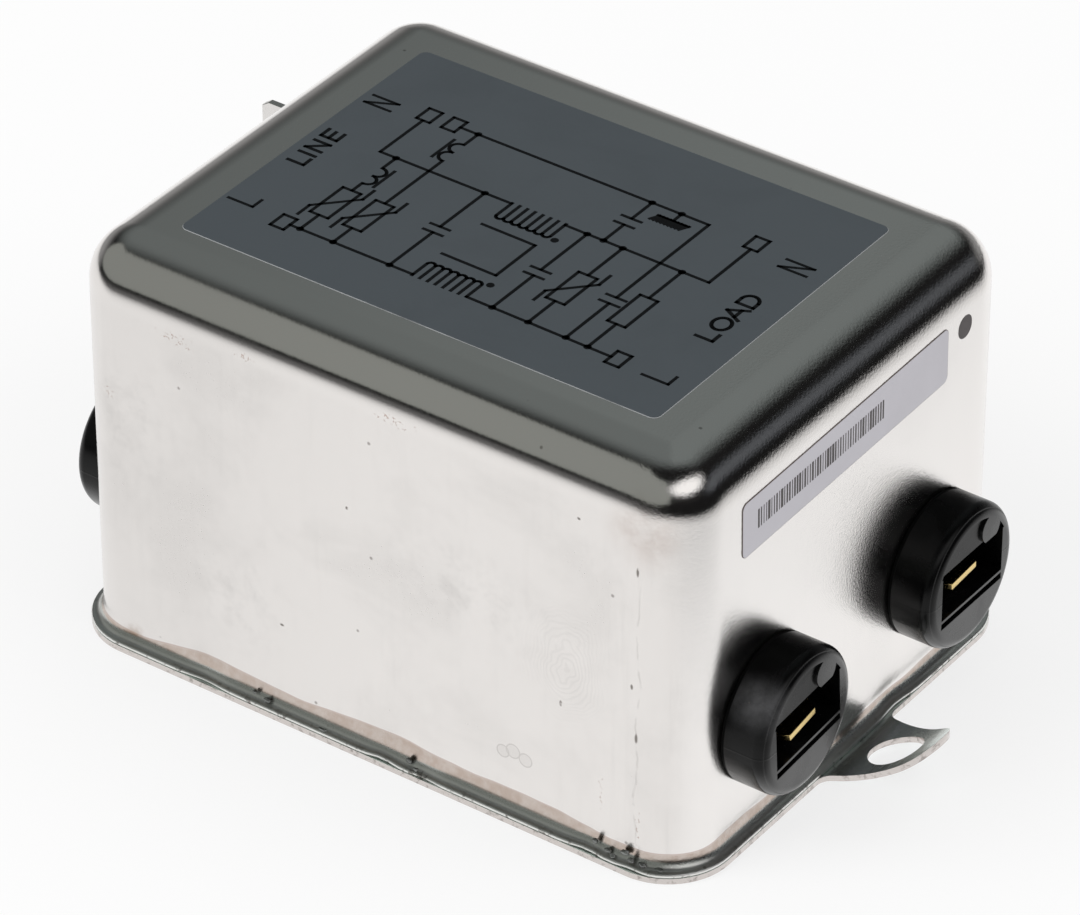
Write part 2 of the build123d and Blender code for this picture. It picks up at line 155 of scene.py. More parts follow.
def feed(tree, node, **sockets):
    """Sets or links a node's inputs by name or index."""
    for key, value in sockets.items():
        numbered = key[0] == "i" and key[1:].isdigit()
        socket = node.inputs[int(key[1:]) if numbered else key.replace("_", " ")]
        if isinstance(value, bpy.types.NodeSocket):
            tree.links.new(value, socket)
        else:
            socket.default_value = value
    return node


def put(tree, kind, settings=None, **sockets):
    """Adds a node, sets its properties, and sets or links its inputs."""
    node = tree.nodes.new(kind)
    for key, value in (settings or {}).items():
        setattr(node, key, value)
    return feed(tree, node, **sockets)


def axes(tree, vector):
    """A vector's values, to be picked as X, Y and Z."""
    return put(tree, "ShaderNodeSeparateXYZ", Vector=vector).outputs


def maths(tree, operation, first, second=0.0):
    """One Math node; returns its value."""
    return put(tree, "ShaderNodeMath", {"operation": operation}, i0=first, i1=second).outputs[0]


def times(tree, first, *others):
    """The product of its values, with a Math node for each step."""
    for other in others:
        first = maths(tree, "MULTIPLY", first, other)
    return first


def plus(tree, first, second):
    """The sum of two values."""
    return maths(tree, "ADD", first, second)


def minus(tree, first, second):
    """The first value less the second."""
    return maths(tree, "SUBTRACT", first, second)


def vector_maths(tree, operation, first, second=(0.0, 0.0, 0.0)):
    """One Vector Math node; returns its vector, or the value of a dot product or length."""
    node = put(tree, "ShaderNodeVectorMath", {"operation": operation}, i0=first, i1=second)
    return node.outputs["Value" if operation in ("DOT_PRODUCT", "LENGTH") else "Vector"]


def smooth_step(tree, value, low, high, to_low=0.0, to_high=1.0):
    """A smooth change from one value to another while the input goes from low to high."""
    node = put(tree, "ShaderNodeMapRange", {"interpolation_type": "SMOOTHSTEP"},
               i0=value, i1=low, i2=high, i3=to_low, i4=to_high)
    return node.outputs[0]


def fade(tree, value, low, high):
    """A smooth fall from one to zero while the input goes from low to high."""
    return smooth_step(tree, value, low, high, 1.0, 0.0)


def noise(tree, vector, scale, detail=2.0, roughness=0.5, distortion=0.0):
    """One Noise Texture; returns its value."""
    node = put(tree, "ShaderNodeTexNoise", Vector=vector, Scale=scale, Detail=detail,
               Roughness=roughness, Distortion=distortion)
    return node.outputs[0]


def mix_colour(tree, factor, first, second, blend="MIX"):
    """Mixes two colours; returns the result."""
    node = put(tree, "ShaderNodeMix", {"data_type": "RGBA", "blend_type": blend}, i0=factor)
    for index, value in ((6, first), (7, second)):
        if isinstance(value, bpy.types.NodeSocket):
            tree.links.new(value, node.inputs[index])
        else:
            node.inputs[index].default_value = (*value, 1.0)
    return node.outputs[2]


def bumped(tree, height):
    """The normal of a surface that is raised by a height in metres."""
    return put(tree, "ShaderNodeBump", Height=height, Distance=1.0, Strength=1.0).outputs[0]


# %% Group: fine grain
def build_fine_grain():
    """Grain in a surface: a bumped normal and a value around one that varies with the grain."""
    tree, start, end = group_tree(
        "fine_grain",
        [("Place", "NodeSocketVector", None), ("Grain per metre", "NodeSocketFloat", 3000.0),
         ("Depth in mm", "NodeSocketFloat", 0.004), ("Variation", "NodeSocketFloat", 0.1)],
        [("Normal", "NodeSocketVector"), ("Factor", "NodeSocketFloat")])
    given = start.outputs
    grain = noise(tree, given["Place"], given["Grain per metre"], 3.0, 0.6)
    height = times(tree, grain, times(tree, given["Depth in mm"], MM))
    spread = times(tree, minus(tree, grain, 0.5), times(tree, given["Variation"], 2.0))
    feed(tree, end, Normal=bumped(tree, height), Factor=plus(tree, spread, 1.0))
    return tree


# %% Group: smudges and specks
def build_smudges():
    """Faint cloudy smudges and a few small dark specks, each from 0 to 1."""
    tree, start, end = group_tree(
        "smudges",
        [("Place", "NodeSocketVector", None), ("Cloud per metre", "NodeSocketFloat", 90.0),
         ("Speck per metre", "NodeSocketFloat", 700.0), ("Speck share", "NodeSocketFloat", 0.1)],
        [("Cloud", "NodeSocketFloat"), ("Speck", "NodeSocketFloat")])
    given = start.outputs
    place = given["Place"]
    cloud = smooth_step(tree, noise(tree, place, given["Cloud per metre"], 5.0, 0.6, 0.4), 0.42, 0.72)
    cells = put(tree, "ShaderNodeTexVoronoi", Vector=place, Scale=given["Speck per metre"], Randomness=1.0)
    drawn = put(tree, "ShaderNodeSeparateColor", Color=cells.outputs["Color"]).outputs[0]
    chosen = maths(tree, "LESS_THAN", drawn, given["Speck share"])
    near = fade(tree, cells.outputs["Distance"], 0.05, 0.15)
    feed(tree, end, Cloud=cloud, Speck=times(tree, chosen, near))
    return tree


fine_grain = build_fine_grain()
smudges = build_smudges()
print("shared groups:", [tree.name for tree in (fine_grain, smudges)])


# %% Starting a material
def new_material(name):
    """A material with its node tree, its Principled shader and its Object coordinates."""
    material = bpy.data.materials.new(name)
    material.use_nodes = True
    tree = material.node_tree
    place = tree.nodes.new("ShaderNodeTexCoord").outputs["Object"]
    return material, tree, tree.nodes["Principled BSDF"], place


def put_group(tree, group, **sockets):
    """Places a shared group in a tree."""
    return put(tree, "ShaderNodeGroup", {"node_tree": group}, **sockets)


def plain_finish(name, colour, roughness, metallic=0.0, grain=2500.0, depth=0.004, variation=0.15,
                 cloud_tone=0.85, coat=0.0):
    """A material of one colour with grain in its bump and roughness, and cloudy variation."""
    material, tree, shader, place = new_material(name)
    grains = put_group(tree, fine_grain, Place=place, Grain_per_metre=grain, Depth_in_mm=depth,
                       Variation=variation)
    marks = put_group(tree, smudges, Place=place, Speck_share=0.0)
    tone = mix_colour(tree, marks.outputs["Cloud"], colour, [part * cloud_tone for part in colour])
    feed(tree, shader, Base_Color=tone, Roughness=times(tree, grains.outputs["Factor"], roughness),
         Normal=grains.outputs["Normal"], Metallic=metallic, Coat_Weight=coat)
    return material


# %% [markdown]
# ## Tinned steel
#
# The can is bright tinned sheet, drawn to shape. Its walls mirror the white table, so they look
# nearly white, while the crown mirrors the darker room above. The tin is a little rough: what it
# mirrors close by is clear, and what is further away is blurred and grainy. The roughness and
# bump therefore matter more than the colour. Handling has rubbed the load end dull, so its grain
# is stronger there. Marks that the object has in one place are masks around a point of the wall,
# read from Object coordinates, so that they stay where they are from any side.

# %% The can's tin: colours
tin_colour = (0.81, 0.782, 0.759)
painted_light_tin = (0.90, 0.875, 0.855)
grey_tin = (0.25, 0.24, 0.235)
painted_shade_green = (0.51, 0.54, 0.52)
painted_reflection_green = (0.87, 0.89, 0.87)
flare_tint = (0.50, 0.415, 0.36)
dirt_colour = (0.16, 0.14, 0.125)
rust_colour = (0.36, 0.22, 0.16)
brown_stain = (0.30, 0.18, 0.10)


# %% Masks around a point or a line of the object
def away_from(tree, place, centre_mm, stretch=(1.0, 1.0, 1.0)):
    """Distance in millimetres from a point, with each axis stretched."""
    gap = vector_maths(tree, "SUBTRACT", place, [value * MM for value in centre_mm])
    gap = vector_maths(tree, "MULTIPLY", gap, [value / MM for value in stretch])
    return vector_maths(tree, "LENGTH", gap)


def near_point(tree, place, centre_mm, reach, stretch=(1.0, 1.0, 1.0)):
    """One at a point, fading to zero at a distance in millimetres."""
    return fade(tree, away_from(tree, place, centre_mm, stretch), 0.0, reach)


def off_line(tree, value, line):
    """How far a value is from a line, on either side."""
    return maths(tree, "ABSOLUTE", minus(tree, value, line))


def most(tree, *masks):
    """The largest of several masks."""
    total = masks[0]
    for mask in masks[1:]:
        total = maths(tree, "MAXIMUM", total, mask)
    return total


# %% Places of the marks on the can's walls, in millimetres
ring_centre, ring_reach, ring_pitch = (25.0, -30.5, 23.0), 10.5, 0.5
ring_squash, ring_wander = (1.0, 1.0, 0.75), 5.0
drop_marks = [((17.0, -30.5, 8.1), 0.75), ((18.3, -30.5, 8.6), 0.85), ((19.9, -30.5, 8.1), 0.8)]
drop_border, drop_dark = (0.03, 0.14), 0.8
drop_inside, drop_faint = 0.1, 0.25
Band = namedtuple("Band", "centre reach stretch")
speckle_bands = [
    Band((3.5, -30.5, 44.6), 8.0, (1.0, 1.0, 5.0)),
    Band((-16.5, -30.5, 44.9), 5.0, (1.0, 1.0, 5.0)),
    Band((-25.0, -30.5, 43.5), 8.0, (1.0, 1.0, 4.0)),
    Band((-35.0, -30.5, 33.0), 4.0, (1.0, 1.0, 2.0)),
    Band((34.2, -30.5, 6.0), 7.0, (9.0, 1.0, 1.0)),
    Band((29.5, -30.5, 9.0), 7.0, (8.0, 1.0, 1.0)),
    Band((40.0, -23.5, 28.0), 13.0, (1.0, 7.0, 1.0)),
]
speckle_rarity, speckle_crowding = 0.80, 0.26
nicks = [
    Band((33.9, -30.5, 38.3), 0.75, (3.5, 1.0, 1.0)),
    Band((33.9, -30.5, 17.2), 0.85, (3.5, 1.0, 1.0)),
    Band((33.3, -30.5, 23.6), 0.45, (2.0, 1.0, 1.0)),
    Band((24.4, -30.5, 17.6), 0.5, (2.2, 1.0, 1.0)),
    Band((26.6, -30.5, 42.0), 0.35, (1.2, 1.0, 1.6)),
    Band((-12.0, -30.5, 12.0), 0.35, (1.0, 1.0, 1.6)),
    Band((-3.0, -30.5, 31.0), 0.3, (1.3, 1.0, 1.0)),
]
cloud_patches = [
    Band((-18.0, -30.5, 13.0), 9.0, (1.0, 1.0, 0.8)),
    Band((-32.0, -30.5, 30.0), 9.0, (1.0, 1.0, 0.7)),
    Band((12.0, -30.5, 27.0), 12.0, (0.7, 1.0, 1.4)),
]
crease_along, crease_low, crease_high = 34.0, 2.5, 39.0
crease_wander, crease_width = 2.2, (0.04, 0.20)
crease_fade_in, crease_fade_out = 3.0, 8.0


# %% Masks of these marks
def finger_print(tree, place):
    """Faint rings left by a finger."""
    distance = away_from(tree, place, ring_centre, ring_squash)
    distance = plus(tree, distance, times(tree, noise(tree, place, 190.0, 2.0), ring_wander))
    wave = maths(tree, "SINE", times(tree, distance, 2 * math.pi / ring_pitch))
    return times(tree, smooth_step(tree, wave, -0.2, 0.9),
                 fade(tree, distance, 0.3 * ring_reach, ring_reach))


def dried_drops(tree, place):
    """Thin dark borders of dried drops, with a faint grey inside."""
    borders = []
    for centre, radius in drop_marks:
        distance = away_from(tree, place, centre)
        borders.append(smooth_step(tree, off_line(tree, distance, radius), *drop_border, drop_dark, 0.0))
        borders.append(smooth_step(tree, distance, radius - drop_inside, radius, drop_faint, 0.0))
    return most(tree, *borders)


def speckle(tree, place):
    """Small spots crowded into a few bands of the walls."""
    bands = most(tree, *[near_point(tree, place, *band) for band in speckle_bands])
    level = minus(tree, speckle_rarity, times(tree, bands, speckle_crowding))
    return smooth_step(tree, minus(tree, noise(tree, place, 2600.0, 3.0, 0.65), level), 0.0, 0.04)


def nicked(tree, place):
    """A few short dark nicks."""
    marks = most(tree, *[fade(tree, away_from(tree, place, nick.centre, nick.stretch),
                              0.4 * nick.reach, nick.reach) for nick in nicks])
    return times(tree, marks, smooth_step(tree, noise(tree, place, 2200.0, 2.0), 0.3, 0.5))


def handled_clouds(tree, place):
    """Broad faint grey patches, broken up by a finer cloud."""
    patches = most(tree, *[near_point(tree, place, *patch) for patch in cloud_patches])
    return times(tree, patches, smooth_step(tree, noise(tree, place, 330.0, 5.0, 0.65), 0.4, 0.75))


def crease(tree, place):
    """A thin upright line on the live side wall that wanders a little, from 0 to 1."""
    parts = axes(tree, place)
    wander = times(tree, noise(tree, place, 160.0, 3.0), crease_wander * MM)
    off = off_line(tree, plus(tree, parts["X"], wander), (crease_along + crease_wander / 2) * MM)
    line = fade(tree, off, *[width * MM for width in crease_width])
    reach = times(tree, smooth_step(tree, parts["Z"], crease_low * MM, (crease_low + crease_fade_in) * MM),
                  fade(tree, parts["Z"], (crease_high - crease_fade_out) * MM, crease_high * MM))
    broken = smooth_step(tree, noise(tree, place, 420.0, 3.0), 0.42, 0.62)
    live_side = fade(tree, parts["Y"], -0.0300, -0.0290)
    return times(tree, times(tree, line, reach), times(tree, broken, live_side))


# %% Colour of the can's walls
Mark = namedtuple("Mark", "mask strength colour")
smears = [Mark(handled_clouds, 0.16, grey_tin), Mark(finger_print, 0.05, dirt_colour),
          Mark(dried_drops, 0.3, dirt_colour), Mark(crease, 0.16, dirt_colour)]
spots = [Mark(speckle, 0.5, rust_colour), Mark(nicked, 0.85, dirt_colour)]
haze_centre, haze_reach = (34.5, -30.3, 43.3), 6.0
haze_share = (0.1, 0.34)
streak_stretch, streak_share = (1.0, 1.0, 0.06), (0.025, 0.07)
smear_tone = 0.94
# Painted shade towards the line end:
line_end_shade_share = 0.09
# Painted light on the load-end wall:
painted_light_share = 0.75


def laid_over(tree, place, tone, marks):
    """A tone with marks laid over it in turn."""
    for mark in marks:
        tone = mix_colour(tree, times(tree, mark.mask(tree, place), mark.strength), tone, mark.colour)
    return tone


def wall_colour(tree, place, wall, cloud):
    """Tin with its smears, streaks, rings, drops and spots, painted shade towards the line end and painted
    light on the load-end wall.
    """
    along = axes(tree, place)["X"]
    streak_place = put(tree, "ShaderNodeMapping", Vector=place, Scale=streak_stretch).outputs[0]
    streaks = smooth_step(tree, noise(tree, streak_place, 900.0, 3.0, 0.6), 0.48, 0.8)
    streaks = times(tree, streaks, times(tree, wall, smooth_step(tree, along, 0.025, 0.040, *streak_share)))
    tone = mix_colour(tree, times(tree, cloud, wall), tin_colour, [part * smear_tone for part in tin_colour])
    # Painted shade: the tin, crown and walls alike, turns greyer towards the line end.
    shade_to_line_end = smooth_step(tree, along, -0.040, 0.010, line_end_shade_share, 0.0)
    tone = mix_colour(tree, plus(tree, streaks, shade_to_line_end), tone, grey_tin)
    tone = laid_over(tree, place, tone, smears)
    haze = times(tree, near_point(tree, place, haze_centre, haze_reach),
                 smooth_step(tree, noise(tree, place, 300.0, 5.0, 0.65), 0.3, 0.7, *haze_share))
    tone = laid_over(tree, place, mix_colour(tree, haze, tone, rust_colour), spots)
    # Painted light: the load-end wall is made brighter tin.
    load_end = times(tree, smooth_step(tree, along, 0.037, 0.0395, 0.0, painted_light_share), wall)
    return mix_colour(tree, load_end, tone, painted_light_tin)


# %% Colour of the flange and the flare above it
stain_border, stain_soft, stain_waves = 0.0021, 0.00015, 0.0028
line_end_drop, load_end_drop = 0.0011, 0.0008
border_line, border_dark = (0.00003, 0.00012), 0.5
brown_spot, brown_reach = (-32.3, -31.8, 1.6), 2.6
# Painted reflection and shade on the flange and the foot of the flare:
green_levels, green_share = (0.00185, 0.00205), 0.8
curve_levels = (0.00135, 0.0017)
grime_levels, grime_share = (0.0009, 0.0014), 0.8


def flange_colour(tree, place, tone):
    """The stained flare with its wavy border, a brown spot, dirt along the edge, a pale greenish painted
    reflection on the flange and a darker band of painted shade just above it.
    """
    parts = axes(tree, place)
    along, level = parts["X"], parts["Z"]
    waves = times(tree, noise(tree, place, 60.0, 2.0), stain_waves)
    drops = plus(tree, smooth_step(tree, along, -0.034, -0.018, line_end_drop, 0.0),
                 smooth_step(tree, along, 0.024, 0.033, 0.0, load_end_drop))
    border = plus(tree, minus(tree, level, waves), drops)
    stain = fade(tree, border, stain_border - stain_soft, stain_border)
    mottle = smooth_step(tree, noise(tree, place, 700.0, 4.0, 0.6), 0.3, 0.7, 0.72, 1.0)
    tone = mix_colour(tree, times(tree, stain, mottle), tone, flare_tint)
    dark_line = smooth_step(tree, off_line(tree, border, stain_border), *border_line, border_dark, 0.0)
    tone = mix_colour(tree, dark_line, tone, rust_colour)
    brown = times(tree, near_point(tree, place, brown_spot, brown_reach),
                  smooth_step(tree, noise(tree, place, 800.0, 3.0), 0.35, 0.6))
    tone = mix_colour(tree, brown, tone, brown_stain)
    # Painted reflection: pale greenish tin on the flange, turning to darker painted shade higher up the
    # flare.
    green = mix_colour(tree, smooth_step(tree, level, *curve_levels), painted_reflection_green, painted_shade_green)
    tone = mix_colour(tree, smooth_step(tree, level, *green_levels, green_share, 0.0), tone, green)
    grime = smooth_step(tree, noise(tree, place, 900.0, 3.0, 0.6), 0.56, 0.66)
    grime = times(tree, fade(tree, level, *grime_levels), grime, grime_share)
    return mix_colour(tree, grime, tone, dirt_colour)


# %% The can's tin
wall_levels = (0.0435, 0.046)
rubbed_along, rubbed_across = (0.026, 0.037), (-0.026, -0.006)
fresh_grain, rubbed_grain = 0.0045, 0.026
speck_share = 0.6
crown_rough, wall_rough, low_rough, cloud_rough = 0.12, 0.10, 0.14, 0.04


def build_tin():
    """Tin for the can: grain, streaks, smears and spots on its walls, painted shade and light along its
    length, and a stained lower edge that also carries painted reflection and shade.
    """
    material, tree, shader, place = new_material("tinned_can")
    parts = axes(tree, place)
    level = parts["Z"]
    wall = fade(tree, level, *wall_levels)
    wear_and_sheen = times(tree, smooth_step(tree, parts["X"], *rubbed_along),
                   smooth_step(tree, parts["Y"], *rubbed_across, 0.55, 1.0))
    depth = smooth_step(tree, wear_and_sheen, 0.0, 1.0, fresh_grain, rubbed_grain)
    grains = put_group(tree, fine_grain, Place=place, Grain_per_metre=3000.0, Depth_in_mm=depth,
                       Variation=0.3)
    marks = put_group(tree, smudges, Place=place, Cloud_per_metre=62.0, Speck_per_metre=520.0,
                      Speck_share=0.05).outputs
    tone = flange_colour(tree, place, wall_colour(tree, place, wall, marks["Cloud"]))
    tone = mix_colour(tree, times(tree, marks["Speck"], speck_share), tone, dirt_colour)
    rough = plus(tree, times(tree, wall, wall_rough), crown_rough)
    rough = plus(tree, rough, smooth_step(tree, level, 0.0010, 0.0022, low_rough, 0.0))
    rough = times(tree, rough, grains.outputs["Factor"])
    rough = plus(tree, rough, times(tree, marks["Cloud"], cloud_rough))
    feed(tree, shader, Base_Color=tone, Roughness=rough, Normal=grains.outputs["Normal"], Metallic=1.0)
    return material


# %% The base plate's duller tin
plate_tones = ((0.86, 0.94, 0.90), (0.62, 0.675, 0.65))
cut_edge_colour = (0.64, 0.595, 0.57)
edge_grime_share = 0.5
ear_root = 0.0434
root_reach = (0.0006, 0.0024)
root_streak_colour = (0.94, 0.97, 1.0)
plate_rough = 0.24


def build_plate_tin():
    """Duller tin, with pale cut edges that carry dark grime, and pale streaks by the ear's root."""
    material, tree, shader, place = new_material("plate_tin")
    grains = put_group(tree, fine_grain, Place=place, Grain_per_metre=3000.0, Depth_in_mm=0.006,
                       Variation=0.25).outputs
    marks = put_group(tree, smudges, Place=place, Cloud_per_metre=150.0, Speck_per_metre=520.0,
                      Speck_share=0.05).outputs
    tone = mix_colour(tree, marks["Cloud"], *plate_tones)
    streak_place = put(tree, "ShaderNodeMapping", Vector=place, Scale=(1.0, 0.12, 1.0)).outputs[0]
    root = fade(tree, off_line(tree, axes(tree, place)["X"], ear_root), *root_reach)
    streaks = smooth_step(tree, noise(tree, streak_place, 1500.0, 3.0, 0.6), 0.45, 0.65)
    tone = mix_colour(tree, times(tree, root, streaks), tone, root_streak_colour)
    normal = tree.nodes.new("ShaderNodeNewGeometry").outputs["Normal"]
    edge = fade(tree, maths(tree, "ABSOLUTE", axes(tree, normal)["Z"]), 0.25, 0.6)
    tone = mix_colour(tree, edge, tone, cut_edge_colour)
    grime = smooth_step(tree, noise(tree, place, 1100.0, 4.0, 0.65), 0.5, 0.66)
    tone = mix_colour(tree, times(tree, edge, grime, edge_grime_share), tone, dirt_colour)
    tone = mix_colour(tree, times(tree, marks["Speck"], speck_share), tone, dirt_colour)
    feed(tree, shader, Base_Color=tone, Roughness=times(tree, grains["Factor"], plate_rough),
         Normal=grains["Normal"], Metallic=1.0)
    return material


tin = build_tin()
plate_tin = build_plate_tin()
splash = plain_finish("weld_splash", (0.34, 0.35, 0.34), 0.5, metallic=1.0, grain=2500.0, depth=0.03,
                      variation=0.4, cloud_tone=0.5)
print("metal finishes:", tin.name, plate_tin.name)

# %% [markdown]
# ## Finishes of the smaller pieces
#
# The bushings are black moulded plastic with a soft gloss. Their finish adds what the moulding
# left: a fine parting line at mid height and a thin raised rim. It also paints shade in the gap
# where the wall meets them, and one pale patch of painted highlight. The blades are plain brass and
# the earth blade is tinned brass. Most of what lies inside the can never shows, but each piece
# still gets a finish of its own kind.

# %% Sizes of the bushing that its finish follows
bushing_spacing = 0.0157
bushing_height = 0.0151
rim_radius = 7.95
rim_line = 0.12
gap_from, gap_to = 0.04042, 0.04052
face_from, face_to = 0.04515, 0.0453
parting_line = (0.00003, 0.00012)
# A patch of painted highlight on the barrel's upper live side:
highlight_centre, highlight_reach, highlight_stretch = (43.4, -22.4, 20.6), 4.2, (0.8, 1.0, 1.0)
grain_depth, rim_depth, parting_depth = 0.0000026, 0.00009, 0.00002
black_tones = ((0.0016, 0.0016, 0.0017), (0.0040, 0.0040, 0.0042))
painted_highlight_tone = (0.085, 0.085, 0.088)
speck_tone = (0.10, 0.095, 0.09)
gap_shade_tone = (0.0006, 0.0006, 0.0006)


# %% The black moulding
def build_moulding():
    """Black plastic: a parting line, painted shade in the gap at the wall, a fine rim line and a painted
    highlight patch.
    """
    material, tree, shader, place = new_material("black_moulding")
    parts = axes(tree, place)
    outwards = maths(tree, "ABSOLUTE", parts["X"])
    aside = minus(tree, maths(tree, "ABSOLUTE", parts["Y"]), bushing_spacing)
    rise = minus(tree, parts["Z"], bushing_height)
    around = put(tree, "ShaderNodeCombineXYZ", X=aside, Y=rise).outputs[0]
    gap = fade(tree, outwards, gap_from, gap_to)
    parting = fade(tree, maths(tree, "ABSOLUTE", rise), *parting_line)
    rim = smooth_step(tree, vector_maths(tree, "LENGTH", around), (rim_radius - rim_line) * MM,
                      rim_radius * MM)
    # Painted highlight: a pale blotchy patch on the barrel's upper live side.
    wear_and_sheen = times(tree, near_point(tree, place, highlight_centre, highlight_reach, highlight_stretch),
                   smooth_step(tree, noise(tree, place, 500.0, 4.0, 0.6), 0.3, 0.7, 0.5, 1.0))
    marks = put_group(tree, smudges, Place=place, Cloud_per_metre=200.0, Speck_per_metre=900.0,
                      Speck_share=0.04).outputs
    tone = mix_colour(tree, marks["Cloud"], *black_tones)
    tone = mix_colour(tree, wear_and_sheen, tone, painted_highlight_tone)
    tone = mix_colour(tree, times(tree, marks["Speck"], 0.5), tone, speck_tone)
    # Painted shade: near-black where the bushing meets the wall.
    tone = mix_colour(tree, gap, tone, gap_shade_tone)
    height = times(tree, noise(tree, place, 3500.0, 3.0, 0.6), grain_depth)
    height = plus(tree, height, times(tree, rim, rim_depth))
    height = plus(tree, height, times(tree, parting, parting_depth))
    rough = smooth_step(tree, marks["Cloud"], 0.0, 1.0, 0.24, 0.34)
    rough = plus(tree, rough, times(tree, gap, 0.65))
    own_side = times(tree, maths(tree, "SIGN", parts["Y"]), bushing_spacing)
    lean = minus(tree, rise, minus(tree, parts["Y"], own_side))
    on_face = smooth_step(tree, outwards, face_from, face_to)
    skin = smooth_step(tree, rise, -0.0050, -0.0010, 0.85, 0.18)
    face = smooth_step(tree, lean, -0.0020, 0.0085, 0.80, 0.20)
    gloss = plus(tree, skin, times(tree, on_face, minus(tree, face, skin)))
    feed(tree, shader, Base_Color=tone, Roughness=rough, Normal=bumped(tree, height),
         Specular_IOR_Level=gloss)
    return material


moulding = build_moulding()
brass = plain_finish("blade_brass", (0.82, 0.62, 0.27), 0.25, metallic=1.0, grain=4000.0,
                     depth=0.002)
tinned_brass = plain_finish("tinned_brass", (0.78, 0.76, 0.74), 0.28, metallic=1.0, depth=0.004)
inner_finishes = {
    "earth_lead": plain_finish("earth_wire_sleeve", (0.30, 0.42, 0.05), 0.45),
    "circuit_board": plain_finish("bare_laminate", (0.42, 0.33, 0.16), 0.5, grain=900.0),
    "insulating_liner": plain_finish("pressed_fibre", (0.55, 0.50, 0.40), 0.7, grain=1500.0, depth=0.02),
    "choke_core": plain_finish("coated_ferrite", (0.12, 0.25, 0.14), 0.35),
    "choke_divider": plain_finish("natural_nylon", (0.80, 0.78, 0.70), 0.45),
    "choke_winding": plain_finish("enamelled_copper", (0.70, 0.30, 0.14), 0.25, metallic=1.0, coat=0.5),
    "resistor": plain_finish("resistor_lacquer", (0.62, 0.48, 0.30), 0.3),
    "x_capacitor": plain_finish("capacitor_case", (0.72, 0.55, 0.08), 0.35),
    "varistor": plain_finish("blue_epoxy", (0.04, 0.12, 0.42), 0.4),
    "y_capacitor": plain_finish("pale_blue_epoxy", (0.12, 0.30, 0.52), 0.4),
    "fuse": plain_finish("fuse_metal", (0.75, 0.74, 0.72), 0.3, metallic=1.0),
}
finished = 0
for name, node in nodes.items():
    chosen = [finish for word, finish in inner_finishes.items() if word in name]
    if chosen:
        node.data.materials.clear()
        node.data.materials.append(chosen[0])
        finished += 1
print("inner pieces with a finish:", finished)

# %% [markdown]
# ## The can
#
# A drawn cup is easiest to build as a stack of rings, each a rounded rectangle: up the edge of
# the flange, in along the flare, up the wall, round the crown and across the top, then back down
# inside at the sheet's thickness. Rings that stay close together where the curve starts keep the
# mirror image clean, because a smooth surface blends its normals from ring to ring.

# %% Sizes of the can, read from the frame
def mm_box(node):
    """A node's lowest and highest corners in millimetres."""
    low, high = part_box(node)
    return low / MM, high / MM


can_low, can_high = mm_box("can")
label_low, label_high = mm_box("rating_label")
side_low, side_high = mm_box("side_label")
half_length = side_low.x
half_width = can_high.y - (can_high.x - half_length)
flange_out = can_high.x - half_length
crown_top = can_high.z
flange_bottom = can_low.z
sheet = 0.5
corner_radius = 6.4
crown_radius = 6.2
print("can", round(2 * half_length, 2), "x", round(2 * half_width, 2), "x", round(crown_top, 2))

# %% One ring of the can
corner_steps = 14
long_steps = 48
short_steps = 36
smallest_radius = 0.15
quarter_signs = ((1, 1), (-1, 1), (-1, -1), (1, -1))


def ring_points(offset, level):
    """A rounded rectangle, offset outwards from the can's wall, with evenly spread points."""
    radius = max(corner_radius + offset, smallest_radius)
    reach_x = half_length + offset - radius
    reach_y = half_width + offset - radius
    points = []
    for quarter, (sign_x, sign_y) in enumerate(quarter_signs):
        for step in range(corner_steps):
            angle = math.radians(90 * (quarter + step / corner_steps))
            points.append((sign_x * reach_x + radius * math.cos(angle),
                           sign_y * reach_y + radius * math.sin(angle), level))
        steps = long_steps if quarter % 2 == 0 else short_steps
        angle = math.radians(90 * (quarter + 1))
        start = (sign_x * reach_x + radius * math.cos(angle), sign_y * reach_y + radius * math.sin(angle))
        end_x = -start[0] if quarter % 2 == 0 else start[0]
        end_y = start[1] if quarter % 2 == 0 else -start[1]
        for step in range(steps):
            part = step / steps
            points.append((start[0] + (end_x - start[0]) * part,
                           start[1] + (end_y - start[1]) * part, level))
    return points


# %% The can's section, as offsets and levels from the flange to the crown
flare_height = 2.0
flare_width = 1.15
edge_round = 0.12
flare_rings = 12
wall_rings = 22
crown_rings = 16
inner_rings = 8
close_ring = 0.3


def can_section():
    """Offset and level of each ring on the outside, then on the inside."""
    flange_top = flange_bottom + sheet
    outside = [(flange_out - edge_round, flange_bottom), (flange_out, flange_bottom + edge_round),
               (flange_out, flange_top - edge_round), (flange_out - edge_round, flange_top)]
    flare_foot = flange_top + flare_height
    for step in range(flare_rings + 1):
        angle = math.radians(90 * step / flare_rings)
        outside.append((flare_width * (1 - math.sin(angle)), flare_foot - flare_height * math.cos(angle)))
    wall_top = crown_top - crown_radius
    outside.append((0.0, flare_foot + close_ring))
    for step in range(1, wall_rings):
        outside.append((0.0, flare_foot + (wall_top - flare_foot) * step / wall_rings))
    outside.append((0.0, wall_top - close_ring))
    for step in range(crown_rings + 1):
        angle = math.radians(90 * step / crown_rings)
        outside.append((crown_radius * (math.cos(angle) - 1), wall_top + crown_radius * math.sin(angle)))
    outside.append((-crown_radius - close_ring, crown_top))
    inner_radius = crown_radius - sheet
    inside = [(-crown_radius - close_ring, crown_top - sheet)]
    for step in range(inner_rings, -1, -1):
        angle = math.radians(90 * step / inner_rings)
        inside.append((inner_radius * math.cos(angle) - crown_radius,
                       wall_top + inner_radius * math.sin(angle)))
    inside.append((-sheet, flare_foot))
    inside.append((-0.5 * sheet, flange_bottom + sheet))
    inside.append((0.3 * sheet, flange_bottom))
    return outside, inside


